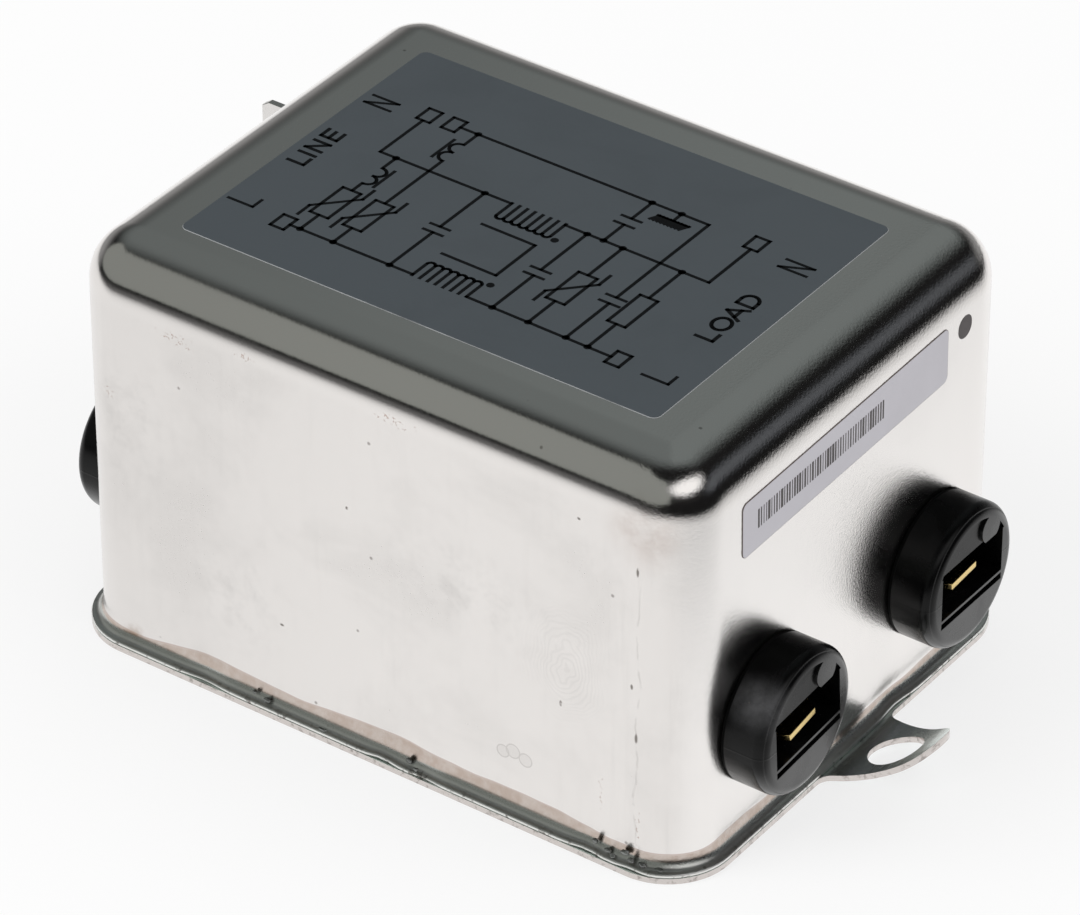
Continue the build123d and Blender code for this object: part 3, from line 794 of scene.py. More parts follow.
# %% Dents along the flange
Dent = namedtuple("Dent", "place reach push")
dents = [
    Dent((-22.0, -31.9, 1.2), 2.2, (0.0, 0.35, -0.1)),
    Dent((2.0, -31.9, 1.2), 1.6, (0.0, 0.25, 0.12)),
    Dent((7.5, -31.9, 1.2), 1.3, (0.0, 0.3, -0.15)),
    Dent((28.5, -31.6, 1.4), 1.8, (0.0, 0.3, 0.06)),
    Dent((34.0, -31.6, 1.4), 1.5, (0.0, 0.3, 0.05)),
    Dent((41.0, 8.0, 1.3), 2.5, (-0.35, 0.0, 0.1)),
]
dent_limit = 2.5


def displaced(point):
    """A point of the can, moved by the dents near it."""
    place = Vector(point)
    moved = place.copy()
    for dent in dents:
        distance = (place - Vector(dent.place)).length / dent.reach
        if distance < dent_limit:
            moved += Vector(dent.push) * math.exp(-distance * distance)
    return moved


# %% Build the can
can_sharp_angle = 50.0
hole_radius = 7.7
hole_depth = 6
hole_sides = 96


def ring_faces(bm, lower, upper):
    """Joins two rings with the same count of points."""
    count = len(lower)
    for index in range(count):
        after = (index + 1) % count
        bm.faces.new((lower[index], lower[after], upper[after], upper[index]))


def build_can():
    """The cup as one closed shell, before the bushings' holes are cut."""
    bm = bmesh.new()
    outside, inside = can_section()
    rings = []
    for offset, level in outside + inside:
        rings.append([bm.verts.new(displaced(point)) for point in ring_points(offset, level)])
    top_ring = len(outside) - 1
    for index in range(len(rings) - 1):
        if index != top_ring:
            ring_faces(bm, rings[index], rings[index + 1])
    ring_faces(bm, rings[-1], rings[0])
    bm.faces.new(rings[top_ring])
    bm.faces.new(list(reversed(rings[top_ring + 1])))
    bmesh.ops.recalc_face_normals(bm, faces=bm.faces)
    return mesh_from(bm, "can_shell", sharp_angle=can_sharp_angle)


def drill(mesh, places, radius, name):
    """Cuts a round hole along X at each place, given in millimetres."""
    cutter = bmesh.new()
    for place in places:
        turn = Matrix.Translation(Vector(place) * MM) @ Matrix.Rotation(math.pi / 2, 4, "Y")
        bmesh.ops.create_cone(cutter, cap_ends=True, segments=hole_sides, radius1=radius * MM,
                              radius2=radius * MM, depth=hole_depth * MM, matrix=turn)
    cutter_mesh = bpy.data.meshes.new("drill")
    cutter.to_mesh(cutter_mesh)
    cutter.free()
    tool = bpy.data.objects.new("drill", cutter_mesh)
    bpy.context.scene.collection.objects.link(tool)
    result = baked(mesh, ("BOOLEAN", {"operation": "DIFFERENCE", "object": tool, "solver": "EXACT"}),
                   name=name)
    bpy.data.objects.remove(tool)
    return result


terminals = {}
for name in nodes:
    if name.endswith("_bushing"):
        low, high = mm_box(name)
        sign = 1 if high.x > 0 else -1
        terminals[name[:-len("_bushing")]] = Vector((sign * half_length, (low.y + high.y) / 2,
                                                     (low.z + high.z) / 2))
can_mesh = drill(build_can(), terminals.values(), hole_radius, "can_shell")
can_mesh.set_sharp_from_angle(angle=math.radians(can_sharp_angle))
add_piece("can_shell", can_mesh, tin, replaced=["can"])

# %% [markdown]
# ## Pieces that keep their solid's shape
#
# The base plate, bushings, blades and rivet already have their true shape in the frame. Real
# edges are never perfectly sharp, though, and it is the small rounding of an edge that catches
# the light. So each gets a merged copy of its mesh with a fine bevel, and that copy stands for
# the node. The load end's blades lean a little in their pockets, as pushed-in blades do, so
# their noses get a slight twist.

# %% Merged copies with softened edges
merge_distance = 1e-6
flat_angle = 0.3
bevel_angle = 32.0


def softened(node_name, bevel_mm, reshape=None):
    """A node's mesh with its doubles merged and its sharp edges bevelled, reshaped if asked."""
    bm = bmesh.new()
    bm.from_mesh(nodes[node_name].data)
    bmesh.ops.remove_doubles(bm, verts=bm.verts, dist=merge_distance)
    bmesh.ops.dissolve_limit(bm, angle_limit=math.radians(flat_angle), verts=bm.verts, edges=bm.edges)
    if reshape:
        reshape(bm)
    mesh = bpy.data.meshes.new(node_name)
    bm.to_mesh(mesh)
    bm.free()
    mesh.polygons.foreach_set("use_smooth", [True] * len(mesh.polygons))
    return baked(mesh, ("BEVEL", {"width": bevel_mm * MM, "segments": 2, "limit_method": "ANGLE",
                                  "angle_limit": math.radians(bevel_angle), "harden_normals": False}),
                 ("WEIGHTED_NORMAL", {"keep_sharp": True}), name=node_name + "_finished")


def dress(node_name, material, bevel_mm, reshape=None):
    """Replaces a node by its softened copy."""
    add_piece(node_name + "_finished", softened(node_name, bevel_mm, reshape), material,
              replaced=[node_name])


# %% A blade's lean in its pocket
Lean = namedtuple("Lean", "turn shift")
leans = {
    "load_live": Lean(math.radians(5.5), Vector((0.3, 0.0, -0.38)) * MM),
    "load_neutral": Lean(math.radians(4.0), Vector((0.0, 0.0, -0.05)) * MM),
}
lean_start = 0.5
lean_whole = 2.0


def leaning(centre, lean):
    """A step that twists and shifts a blade's nose in its pocket, from nothing at the wall."""
    def reshape(bm):
        """Moves each point by its share of the lean."""
        for vert in bm.verts:
            outside = abs(vert.co.x / MM) - half_length
            share = min(max((outside - lean_start) / (lean_whole - lean_start), 0.0), 1.0)
            axis_point = Vector((vert.co.x, centre.y * MM, centre.z * MM))
            turn = Matrix.Rotation(lean.turn * share, 3, "X")
            vert.co = axis_point + turn @ (vert.co - axis_point) + lean.shift * share
    return reshape


# %% Plate, bushings, blades and the earth terminal
dress("base_plate", plate_tin, 0.12)
for name, centre in terminals.items():
    dress(name + "_bushing", moulding, 0.1)
    lean = leaning(centre, leans[name]) if name in leans else None
    dress(name + "_blade", brass, 0.07, reshape=lean)
dress("earth_blade", tinned_brass, 0.08)
dress("earth_rivet", tinned_brass, 0.05)

# %% [markdown]
# ## Geometry Nodes for what repeats
#
# The print is made of many like strokes, the small label of many bars, and the flange has a
# scatter of weld beads. Each is a small node tree that puts one simple shape at every edge or
# point of a guide mesh. The guide is drawn in code, the tree gives it its body, and the result
# is turned into a plain mesh.

# %% Geometry Nodes helpers
def shape_tree(name, inputs):
    """A Geometry Nodes tree with a geometry input and output, and named values."""
    sockets = [("Geometry", "NodeSocketGeometry", None)] + inputs
    return group_tree(name, sockets, [("Geometry", "NodeSocketGeometry")], "GeometryNodeTree")


def finish_shape(tree, end, instances, steps=()):
    """Realizes the instances, runs further nodes on them and sets their material."""
    current = put(tree, "GeometryNodeRealizeInstances", Geometry=instances).outputs[0]
    for kind, sockets in steps:
        current = put(tree, kind, Geometry=current, **sockets).outputs[0]
    coated = put(tree, "GeometryNodeSetMaterial", Geometry=current).outputs[0]
    tree.links.new(coated, end.inputs[0])


def lift(tree, height):
    """The step that raises a flat shape by half its height, so that it stands on its surface."""
    rise = put(tree, "ShaderNodeCombineXYZ", Z=times(tree, height, 0.5))
    return "GeometryNodeSetPosition", {"Offset": rise.outputs[0]}


def grown(guide, tree, name, material, **values):
    """Runs a tree on a guide mesh and returns a plain mesh."""
    holder = bpy.data.objects.new(name, guide)
    bpy.context.scene.collection.objects.link(holder)
    modifier = holder.modifiers.new(name, "NODES")
    tree.nodes["Set Material"].inputs["Material"].default_value = material
    modifier.node_group = tree
    for socket in tree.interface.items_tree:
        key = socket.name.replace(" ", "_")
        if socket.in_out == "INPUT" and key in values:
            modifier[socket.identifier] = values[key]
    bpy.context.view_layer.update()
    graph = bpy.context.evaluated_depsgraph_get()
    result = bpy.data.meshes.new_from_object(holder.evaluated_get(graph))
    result.name = name
    bpy.data.objects.remove(holder)
    return result


# %% Tree: a flat stroke on every edge
def build_strokes():
    """A thin bar along every edge of the guide, a little longer than the edge."""
    tree, start, end = shape_tree("strokes", [
        ("Width", "NodeSocketFloat", 0.0003), ("Height", "NodeSocketFloat", 0.00002),
        ("Overlap", "NodeSocketFloat", 0.0003)])
    ends = tree.nodes.new("GeometryNodeInputMeshEdgeVertices")
    span = vector_maths(tree, "SUBTRACT", ends.outputs["Position 2"], ends.outputs["Position 1"])
    kept = put(tree, "GeometryNodeStoreNamedAttribute", {"data_type": "FLOAT_VECTOR", "domain": "EDGE"},
               Geometry=start.outputs["Geometry"], Name="span", Value=span)
    points = put(tree, "GeometryNodeMeshToPoints", {"mode": "EDGES"}, Mesh=kept.outputs[0])
    stored = put(tree, "GeometryNodeInputNamedAttribute", {"data_type": "FLOAT_VECTOR"}, Name="span")
    span = stored.outputs["Attribute"]
    length = plus(tree, vector_maths(tree, "LENGTH", span), start.outputs["Overlap"])
    size = put(tree, "ShaderNodeCombineXYZ", X=length, Y=start.outputs["Width"], Z=start.outputs["Height"])
    turn = put(tree, "FunctionNodeAlignRotationToVector", {"axis": "X"}, Vector=span)
    cube = put(tree, "GeometryNodeMeshCube", Size=(1.0, 1.0, 1.0))
    placed = put(tree, "GeometryNodeInstanceOnPoints", Points=points.outputs[0],
                 Instance=cube.outputs["Mesh"], Rotation=turn.outputs[0], Scale=size.outputs[0])
    finish_shape(tree, end, placed.outputs[0], [lift(tree, start.outputs["Height"]),
                                                ("GeometryNodeRemoveAttribute", {"Name": "span"})])
    return tree


# %% Tree: a flat round dot on every point
def build_dots():
    """A thin round disc on every point of the guide."""
    tree, start, end = shape_tree("dots", [
        ("Radius", "NodeSocketFloat", 0.00035), ("Height", "NodeSocketFloat", 0.00002)])
    points = put(tree, "GeometryNodeMeshToPoints", {"mode": "VERTICES"}, Mesh=start.outputs["Geometry"])
    disc = put(tree, "GeometryNodeMeshCylinder", Vertices=20, Radius=start.outputs["Radius"],
               Depth=start.outputs["Height"])
    placed = put(tree, "GeometryNodeInstanceOnPoints", Points=points.outputs[0],
                 Instance=disc.outputs["Mesh"])
    finish_shape(tree, end, placed.outputs[0], [lift(tree, start.outputs["Height"])])
    return tree


# %% Tree: a row of bars of mixed widths
def build_bar_row():
    """A row of upright bars along X, each with its own width, from a fixed seed."""
    tree, start, end = shape_tree("bar_row", [
        ("Count", "NodeSocketInt", 40), ("Pitch", "NodeSocketFloat", 0.0004),
        ("Narrowest", "NodeSocketFloat", 0.0001), ("Widest", "NodeSocketFloat", 0.0003),
        ("Tallness", "NodeSocketFloat", 0.002), ("Height", "NodeSocketFloat", 0.00002),
        ("Seed", "NodeSocketInt", 1)])
    pitch = put(tree, "ShaderNodeCombineXYZ", X=start.outputs["Pitch"])
    line = put(tree, "GeometryNodeMeshLine", Count=start.outputs["Count"], Offset=pitch.outputs[0])
    share = put(tree, "FunctionNodeRandomValue", {"data_type": "FLOAT"}, Seed=start.outputs["Seed"])
    share = maths(tree, "POWER", share.outputs["Value"], 2.0)
    width = put(tree, "ShaderNodeMapRange", i0=share, i3=start.outputs["Narrowest"],
                i4=start.outputs["Widest"])
    size = put(tree, "ShaderNodeCombineXYZ", X=width.outputs[0], Y=start.outputs["Tallness"],
               Z=start.outputs["Height"])
    cube = put(tree, "GeometryNodeMeshCube", Size=(1.0, 1.0, 1.0))
    placed = put(tree, "GeometryNodeInstanceOnPoints", Points=line.outputs[0],
                 Instance=cube.outputs["Mesh"], Scale=size.outputs[0])
    finish_shape(tree, end, placed.outputs[0], [lift(tree, start.outputs["Height"])])
    return tree


# %% Tree: small uneven beads
def build_beads():
    """A small lump on every point of the guide, flattened and uneven, from a fixed seed."""
    tree, start, end = shape_tree("beads", [
        ("Radius", "NodeSocketFloat", 0.0004), ("Unevenness", "NodeSocketFloat", 0.0002),
        ("Seed", "NodeSocketInt", 1)])
    points = put(tree, "GeometryNodeMeshToPoints", {"mode": "VERTICES"}, Mesh=start.outputs["Geometry"])
    ball = put(tree, "GeometryNodeMeshIcoSphere", Radius=start.outputs["Radius"], Subdivisions=3)
    share = put(tree, "FunctionNodeRandomValue", {"data_type": "FLOAT_VECTOR"}, i0=(0.6, 0.4, 0.4),
                i1=(1.5, 0.9, 0.8), Seed=start.outputs["Seed"])
    placed = put(tree, "GeometryNodeInstanceOnPoints", Points=points.outputs[0],
                 Instance=ball.outputs["Mesh"], Scale=share.outputs["Value"])
    lumps = put(tree, "ShaderNodeTexNoise", Scale=1600.0, Detail=1.0)
    push = vector_maths(tree, "SUBTRACT", lumps.outputs["Color"], (0.5, 0.5, 0.5))
    amount = put(tree, "ShaderNodeVectorMath", {"operation": "SCALE"}, i0=push,
                 Scale=start.outputs["Unevenness"])
    finish_shape(tree, end, placed.outputs[0],
                 [("GeometryNodeSetPosition", {"Offset": amount.outputs[0]}),
                  ("GeometryNodeSetShadeSmooth", {})])
    return tree


strokes, dots, bar_row, beads = build_strokes(), build_dots(), build_bar_row(), build_beads()
print("trees:", [tree.name for tree in (strokes, dots, bar_row, beads)])

# %% [markdown]
# ## Labels
#
# The rating label is a grey printed foil: a satin film whose cut edge shows as a bright line.
# The label on the end wall is a pale paper, set on a slightly larger dark plate whose thin rim is
# painted shadow round its edge. Both are thin rounded plates, and the print on them is a layer of
# ink with a thickness of its own, a fiftieth of a millimetre.

# %% Label finishes
foil = plain_finish("grey_foil", (0.064, 0.0755, 0.085), 0.36, grain=1800.0, depth=0.003,
                    variation=0.15, cloud_tone=0.94)
foil_edge = plain_finish("cut_foil_edge", (0.36, 0.37, 0.38), 0.45, grain=3000.0, depth=0.002,
                         variation=0.3, cloud_tone=0.4)
# Painted shadow: a dark brown rim round the end wall's label.
label_shadow_edge = plain_finish("aged_paper_edge", (0.16, 0.13, 0.12), 0.6)
paper = plain_finish("pale_label_paper", (0.54, 0.525, 0.565), 0.42, grain=1500.0, depth=0.003,
                     cloud_tone=0.96)
ink = plain_finish("black_ink", (0.0035, 0.0042, 0.0050), 0.55, grain=3000.0, depth=0.002)
ink.node_tree.nodes["Principled BSDF"].inputs["Specular IOR Level"].default_value = 0.2
bar_ink = plain_finish("brown_black_ink", (0.055, 0.045, 0.045), 0.45, grain=3000.0, depth=0.002)
spot_ink = plain_finish("faded_spot_ink", (0.085, 0.072, 0.072), 0.5, grain=1500.0, depth=0.004,
                        cloud_tone=0.6)


# %% A thin rounded plate in its own plane
plate_steps = 8


def plate_mesh(name, length, width, corner, thickness, place, bevel=0.03):
    """A rounded plate; place brings its own x, y and height to the part's frame."""
    bm = bmesh.new()
    outline = []
    for quarter, (sign_x, sign_y) in enumerate(quarter_signs):
        for step in range(plate_steps + 1):
            angle = math.radians(90 * (quarter + step / plate_steps))
            outline.append((sign_x * (length / 2 - corner) + corner * math.cos(angle),
                            sign_y * (width / 2 - corner) + corner * math.sin(angle)))

    def ring(inset, level):
        """The outline at a level, drawn in by an inset."""
        scale_x = (length / 2 - inset) / (length / 2)
        scale_y = (width / 2 - inset) / (width / 2)
        return [bm.verts.new(place @ Vector((x * scale_x, y * scale_y, level))) for x, y in outline]

    rings = [ring(0, 0), ring(0, thickness - bevel), ring(bevel, thickness)]
    for lower, upper in zip(rings, rings[1:]):
        ring_faces(bm, lower, upper)
    bm.faces.new(rings[-1])
    bm.faces.new(list(reversed(rings[0])))
    bmesh.ops.recalc_face_normals(bm, faces=bm.faces)
    return mesh_from(bm, name, sharp_angle=30.0)


# %% The two labels
ink_height = 0.02
rim_width = 0.055
rim_bevel = 0.07
label_length = label_high.x - label_low.x
label_width = label_high.y - label_low.y
label_corner = 1.0
label_centre = (label_low + label_high) / 2
top_plane = Matrix.Translation((label_centre.x, label_centre.y, label_low.z))
top_thickness = label_high.z - label_low.z - ink_height
add_piece("rating_label_foil",
          plate_mesh("rating_label_foil", label_length - 2 * rim_width, label_width - 2 * rim_width,
                     label_corner - rim_width, top_thickness, top_plane),
          foil, replaced=["rating_label"])
add_piece("rating_label_rim",
          plate_mesh("rating_label_rim", label_length, label_width, label_corner,
                     top_thickness - ink_height, top_plane, bevel=rim_bevel),
          foil_edge)

side_tilt = math.radians(1.25)
side_centre = (side_low + side_high) / 2
wall_axes = Matrix(((0, 0, 1, 0), (1, 0, 0, 0), (0, 1, 0, 0), (0, 0, 0, 1)))
side_plane = (Matrix.Translation((side_low.x, side_centre.y, side_centre.z)) @ wall_axes
              @ Matrix.Rotation(side_tilt, 4, "Z"))
side_thickness = side_high.x - side_low.x - ink_height
tilt_room = 0.9
side_corner = 0.8
side_length = side_high.y - side_low.y
side_height = side_high.z - side_low.z - tilt_room
add_piece("side_label_paper",
          plate_mesh("side_label_paper", side_length - 2 * rim_width, side_height - 2 * rim_width,
                     side_corner - rim_width, side_thickness, side_plane),
          paper, replaced=["side_label"])
# A slightly larger dark plate under the paper, whose rim is painted shadow.
add_piece("side_label_backing",
          plate_mesh("side_label_backing", side_length, side_height, side_corner,
                     side_thickness - ink_height, side_plane),
          label_shadow_edge)

# %% [markdown]
# ## The print on the rating label
#
# The label carries the filter's circuit, drawn in single strokes: the terminals as squares, the
# choke as two combs on a core, capacitors as pairs of plates, varistors as slashed boxes. Lengths
# u and v run along the label from its corner at the line end's neutral side. The words only say
# which end and which conductor is which.

# %% Lists that collect the drawing
straight_lines = []
curved_lines = []
junctions = []


def wire(*points):
    """A run of straight strokes."""
    straight_lines.append(points)


def box(u, v, width, height):
    """A rectangle, from its centre and size."""
    left, right, top, bottom = u - width / 2, u + width / 2, v - height / 2, v + height / 2
    wire((left, top), (right, top), (right, bottom), (left, bottom), (left, top))


def arc_points(centre, radius_u, radius_v, start, end, steps):
    """Points along a part of an ellipse, with angles in degrees."""
    points = []
    for step in range(steps + 1):
        angle = math.radians(start + (end - start) * step / steps)
        points.append((centre[0] + radius_u * math.cos(angle), centre[1] + radius_v * math.sin(angle)))
    return points


# %% Symbols of the circuit
plate_half = 1.2
terminal_size = (1.75, 2.4)
varistor_width = 2.35
slash_half = 1.95
slash_rise, slash_fall = (4.0, 1.95), (-2.15, -4.2)
bump_width, core_gap = 1.05, 1.45


def capacitor(u, top, first_plate, second_plate, bottom):
    """Two plates between two wires."""
    wire((u, top), (u, first_plate))
    wire((u - plate_half, first_plate), (u + plate_half, first_plate))
    wire((u - plate_half, second_plate), (u + plate_half, second_plate))
    wire((u, second_plate), (u, bottom))


def varistor(u, top, bottom, box_top, box_bottom):
    """A slashed box between two wires."""
    middle = (box_top + box_bottom) / 2
    wire((u, top), (u, box_top))
    box(u, middle, varistor_width, box_bottom - box_top)
    wire((u, box_bottom), (u, bottom))
    wire(*[(u - slash_half, middle + off) for off in slash_rise],
         *[(u + slash_half, middle + off) for off in slash_fall])


def small_choke(u, top, bottom, side):
    """Two bumps to one side of a wire, and the bar of their core."""
    bump = (bottom - top) / 4
    for turn in range(2):
        centre = (u, top + bump * (2 * turn + 1))
        curved_lines.append(arc_points(centre, side * bump_width, bump, -90, 90, 14))
    wire((u + side * core_gap, top - 0.2), (u + side * core_gap, bottom - 0.1))


def comb(u, open_v, turn_v, count, pitch):
    """The choke's winding: parallel lines joined by round turns at one side."""
    direction = 1 if turn_v > open_v else -1
    radius = pitch / 2
    foot = turn_v - direction * radius
    for line in range(count + 1):
        wire((u + line * pitch, open_v), (u + line * pitch, foot))
    for line in range(count):
        centre = (u + (line + 0.5) * pitch, foot)
        curved_lines.append(arc_points(centre, radius, direction * radius, 0, 180, 12))


# %% Draw the circuit
live_v, neutral_v, earth_v = 36.55, 19.6, 10.6
box(8.5, 10.5, *terminal_size)
box(11.75, 10.45, *terminal_size)
box(8.45, 36.35, *terminal_size)
box(51.35, 10.85, *terminal_size)
box(51.85, 36.85, *terminal_size)
wire((8.5, 11.7), (8.5, 19.4), (25.9, 19.5))
wire((32.9, neutral_v), (51.4, 19.8), (51.4, 12.05))
wire((9.3, 36.4), (25.45, 36.45))
wire((32.45, 36.6), (51.0, 36.9))
wire((12.6, 10.5), (45.2, 10.75))
comb(25.9, 19.4, 22.7, 7, 1.0)
comb(25.45, 36.6, 33.5, 7, 1.0)
wire((25.7, 24.5), (32.6, 24.6), (32.6, 31.6), (25.6, 31.5))
small_choke(15.0, 13.1, 17.0, -1)
wire((15.0, 10.5), (15.0, 13.1))
wire((15.0, 17.0), (15.0, 19.5))
varistor(15.0, 19.5, live_v, 27.3, 33.1)
wire((10.65, 19.4), (10.65, 21.9))
small_choke(10.65, 21.9, 25.5, 1)
varistor(10.65, 25.5, 36.4, 27.3, 33.1)
capacitor(22.4, 19.5, 27.5, 28.8, 36.5)
capacitor(35.8, neutral_v, 28.0, 29.3, 36.6)
capacitor(37.9, earth_v, 14.5, 15.9, neutral_v)
capacitor(45.2, 10.75, 27.7, 29.0, 36.7)
varistor(40.4, 19.7, 36.7, 26.0, 31.9)
wire((48.0, 19.75), (48.0, 25.8))
box(48.0, 28.75, 2.2, 5.9)
wire((48.0, 31.7), (48.0, 36.85))
wire((41.7, 10.7), (41.7, 12.3))
wire((39.8, 12.3), (43.7, 12.3))
hatch_count, hatch_from, hatch_length = 9, 40.0, 3.7
for stroke in range(hatch_count):
    hatch_u = hatch_from + stroke * hatch_length / (hatch_count - 1)
    wire((hatch_u, 12.3), (hatch_u - 0.55, 13.35))
junctions += [(15.0, 10.5), (10.65, 19.45), (22.4, 19.5), (10.65, 36.4), (15.0, 36.4), (22.4, 36.45),
              (37.9, 10.7), (41.7, 10.7), (35.8, 19.65), (37.9, 19.65), (40.4, 19.7), (48.0, 19.8),
              (35.8, 36.65), (40.4, 36.7), (45.2, 36.75), (48.0, 36.85)]
winding_dots = [(33.7, 22.6), (33.2, 33.4)]

# %% Letters of even strokes
letter_shapes = {
    "L": ([[(0, 1), (0, 0), (1, 0)]], []),
    "I": ([[(0, 0), (0, 1)]], []),
    "N": ([[(0, 0), (0, 1), (1, 0), (1, 1)]], []),
    "E": ([[(1, 0), (0, 0), (0, 1), (1, 1)], [(0, 0.52), (0.92, 0.52)]], []),
    "A": ([[(0, 0), (0.5, 1), (1, 0)], [(0.17, 0.34), (0.83, 0.34)]], []),
    "O": ([], [arc_points((0.5, 0.5), 0.5, 0.5, 0, 360, 32)]),
    "D": ([[(0.45, 0), (0, 0), (0, 1), (0.45, 1)]], [arc_points((0.45, 0.5), 0.55, 0.5, -90, 90, 18)]),
}
word_lines = []
word_curves = []
letter_lines = []


def letter(name, base_u, start_v, width, height, lines):
    """A letter that reads towards the neutral side, with its foot at base_u."""
    straights, curves = letter_shapes[name]
    for shapes, target in ((straights, lines), (curves, word_curves)):
        for shape in shapes:
            target.append([(base_u - up * height, start_v - over * width) for over, up in shape])


def word(base_u, height, letters):
    """A word, each letter given by its start and width."""
    for name, start_v, width in letters:
        letter(name, base_u, start_v, width, height, word_lines)


word(3.4, 2.05, [("L", 26.3, 1.3), ("I", 24.25, 0.0), ("N", 23.2, 1.65), ("E", 20.45, 1.5)])
word(57.85, 2.05, [("L", 28.6, 1.35), ("O", 26.55, 2.35), ("A", 23.95, 2.2), ("D", 21.15, 1.95)])
letter("N", 4.5, 12.3, 1.65, 3.4, letter_lines)
letter("L", 4.0, 35.95, 1.6, 3.2, letter_lines)
letter("N", 59.0, 13.0, 1.6, 3.45, letter_lines)
letter("L", 58.6, 37.65, 1.6, 3.2, letter_lines)


# %% Ink the drawing
def guide_mesh(name, lines=(), points=()):
    """A mesh of loose edges and points, placed on top of the label."""
    verts, edges = [], []

    def add(u, v):
        """Adds a point of the label and returns its number."""
        verts.append(((label_low.x + u) * MM, (label_high.y - v) * MM,
                      (label_low.z + top_thickness) * MM))
        return len(verts) - 1

    for line in lines:
        indices = [add(u, v) for u, v in line]
        edges += list(zip(indices, indices[1:]))
    for u, v in points:
        add(u, v)
    mesh = bpy.data.meshes.new(name)
    mesh.from_pydata(verts, edges, [])
    return mesh


def ink_strokes(name, lines, width, overlap):
    """Inks lines at a width in millimetres, as a piece on the label."""
    mesh = grown(guide_mesh(name, lines), strokes, name, ink, Width=width * MM,
                 Height=ink_height * MM, Overlap=overlap * MM)
    add_piece(name, mesh, ink)


def ink_dots(name, points, radius):
    """Inks round dots, as a piece on the label."""
    mesh = grown(guide_mesh(name, points=points), dots, name, ink, Radius=radius * MM,
                 Height=ink_height * MM)
    add_piece(name, mesh, ink)


ink_strokes("circuit_lines", straight_lines, 0.40, 0.40)
ink_strokes("circuit_curves", curved_lines, 0.40, 0.10)
ink_strokes("end_words", word_lines, 0.44, 0.42)
ink_strokes("end_word_curves", word_curves, 0.44, 0.10)
ink_strokes("conductor_letters", letter_lines, 0.38, 0.36)
ink_dots("circuit_junctions", junctions, 0.44)
ink_dots("winding_dots", winding_dots, 0.45)

# %% [markdown]
# ## Marks on the end wall
#
# A row of bars of mixed widths stands on the pale label, and a faded dot of ink beside it, such
# as an inspector leaves.

# %% Bars and the ink dot
bars_from, bars_to = -17.9, 5.4
bar_pitch = 0.47
bars_middle_z = 40.35
bar_tallness = 2.35
bar_count = round((bars_to - bars_from) / bar_pitch)
seed_point = bpy.data.meshes.new("bar_guide")
seed_point.from_pydata([(0, 0, 0)], [], [])
bars = grown(seed_point, bar_row, "side_label_bars", bar_ink, Count=bar_count, Pitch=bar_pitch * MM,
             Narrowest=0.11 * MM, Widest=0.40 * MM, Tallness=bar_tallness * MM,
             Height=ink_height * MM, Seed=7)
bars_place = Vector((side_low.x + side_thickness, bars_from, bars_middle_z)) * MM
bars.transform(Matrix.Translation(bars_place) @ wall_axes @ Matrix.Rotation(side_tilt, 4, "Z"))
add_piece("side_label_bars", bars, bar_ink)

spot_plane = Matrix.Translation((half_length, 20.9, 42.5)) @ wall_axes
add_piece("inspection_dot", plate_mesh("inspection_dot", 2.6, 2.8, 1.28, ink_height, spot_plane,
                                       bevel=0.01),
          spot_ink)

# %% [markdown]
# ## Weld beads
#
# The can's flange is welded to the base plate. The welding left a few small beads and splashes
# along the seam, which are placed where the object has them.

# %% Beads along the flange
bead_places = [(31.0, -31.25, 1.75), (31.8, -31.45, 1.5), (33.0, -31.0, 2.3), (33.9, -31.3, 1.8),
               (35.2, -31.0, 1.55), (29.3, -31.1, 2.1), (5.2, -31.2, 1.9), (6.3, -31.5, 1.45),
               (-13.6, -31.3, 1.7), (-15.4, -31.2, 2.0), (-6.0, -31.6, 1.3), (36.8, -30.4, 1.35)]
bead_guide = bpy.data.meshes.new("bead_guide")
bead_guide.from_pydata([Vector(place) * MM for place in bead_places], [], [])
bead_mesh = grown(bead_guide, beads, "weld_beads", splash, Radius=0.42 * MM,
                  Unevenness=0.45 * MM, Seed=3)
add_piece("weld_beads", bead_mesh, splash)

# %% [markdown]
# ## Floor, lamps and the room that the metal mirrors
#
# Bright metal looks like whatever stands around it. The lamps light the floor, paper and
# plastic at a plain level, and the world gives the metal a simple studio to mirror: a white
# table that fades out a hand's width in front of the object and beyond its load end, and runs on
# behind it, a dark room, a large grey screen at the live side, a bright soft box towards the front
# corner, a small dim card past the load end and a dim ceiling.

# %% Floor
floor_size = 3.0
room_value = 0.010
front_edge = (-0.25, -0.08)
front_value = 0.14
side_edge = (0.05, 0.21)
far_fade = (0.14, 0.9)
far_value = 0.30
floor_glow = 0.72


def build_floor_finish():
    """Pale matt floor for the eye; for mirrors a white table that ends in front of the object."""
    material, tree, shader, place = new_material("pale_floor")
    feed(tree, shader, Base_Color=(0.95, 0.95, 0.95, 1.0), Roughness=0.9, Specular_IOR_Level=0.0)
    path = tree.nodes.new("ShaderNodeLightPath").outputs
    parts = axes(tree, place)
    table = times(tree, smooth_step(tree, parts["Y"], *front_edge, front_value, 1.0),
                  fade(tree, parts["X"], *side_edge))
    distance = vector_maths(tree, "LENGTH", place)
    table = times(tree, table, smooth_step(tree, distance, *far_fade, 1.0, far_value))
    table = maths(tree, "MAXIMUM", table, room_value)
    mirrored = put(tree, "ShaderNodeEmission", Strength=table).outputs[0]
    seen = put(tree, "ShaderNodeEmission", Strength=1.0).outputs[0]
    pale = put(tree, "ShaderNodeMixShader", i0=times(tree, path["Is Camera Ray"], floor_glow),
               i1=shader.outputs[0], i2=seen).outputs[0]
    both = put(tree, "ShaderNodeMixShader", i0=path["Is Glossy Ray"], i1=pale, i2=mirrored)
    feed(tree, tree.nodes["Material Output"], Surface=both.outputs[0])
    return material


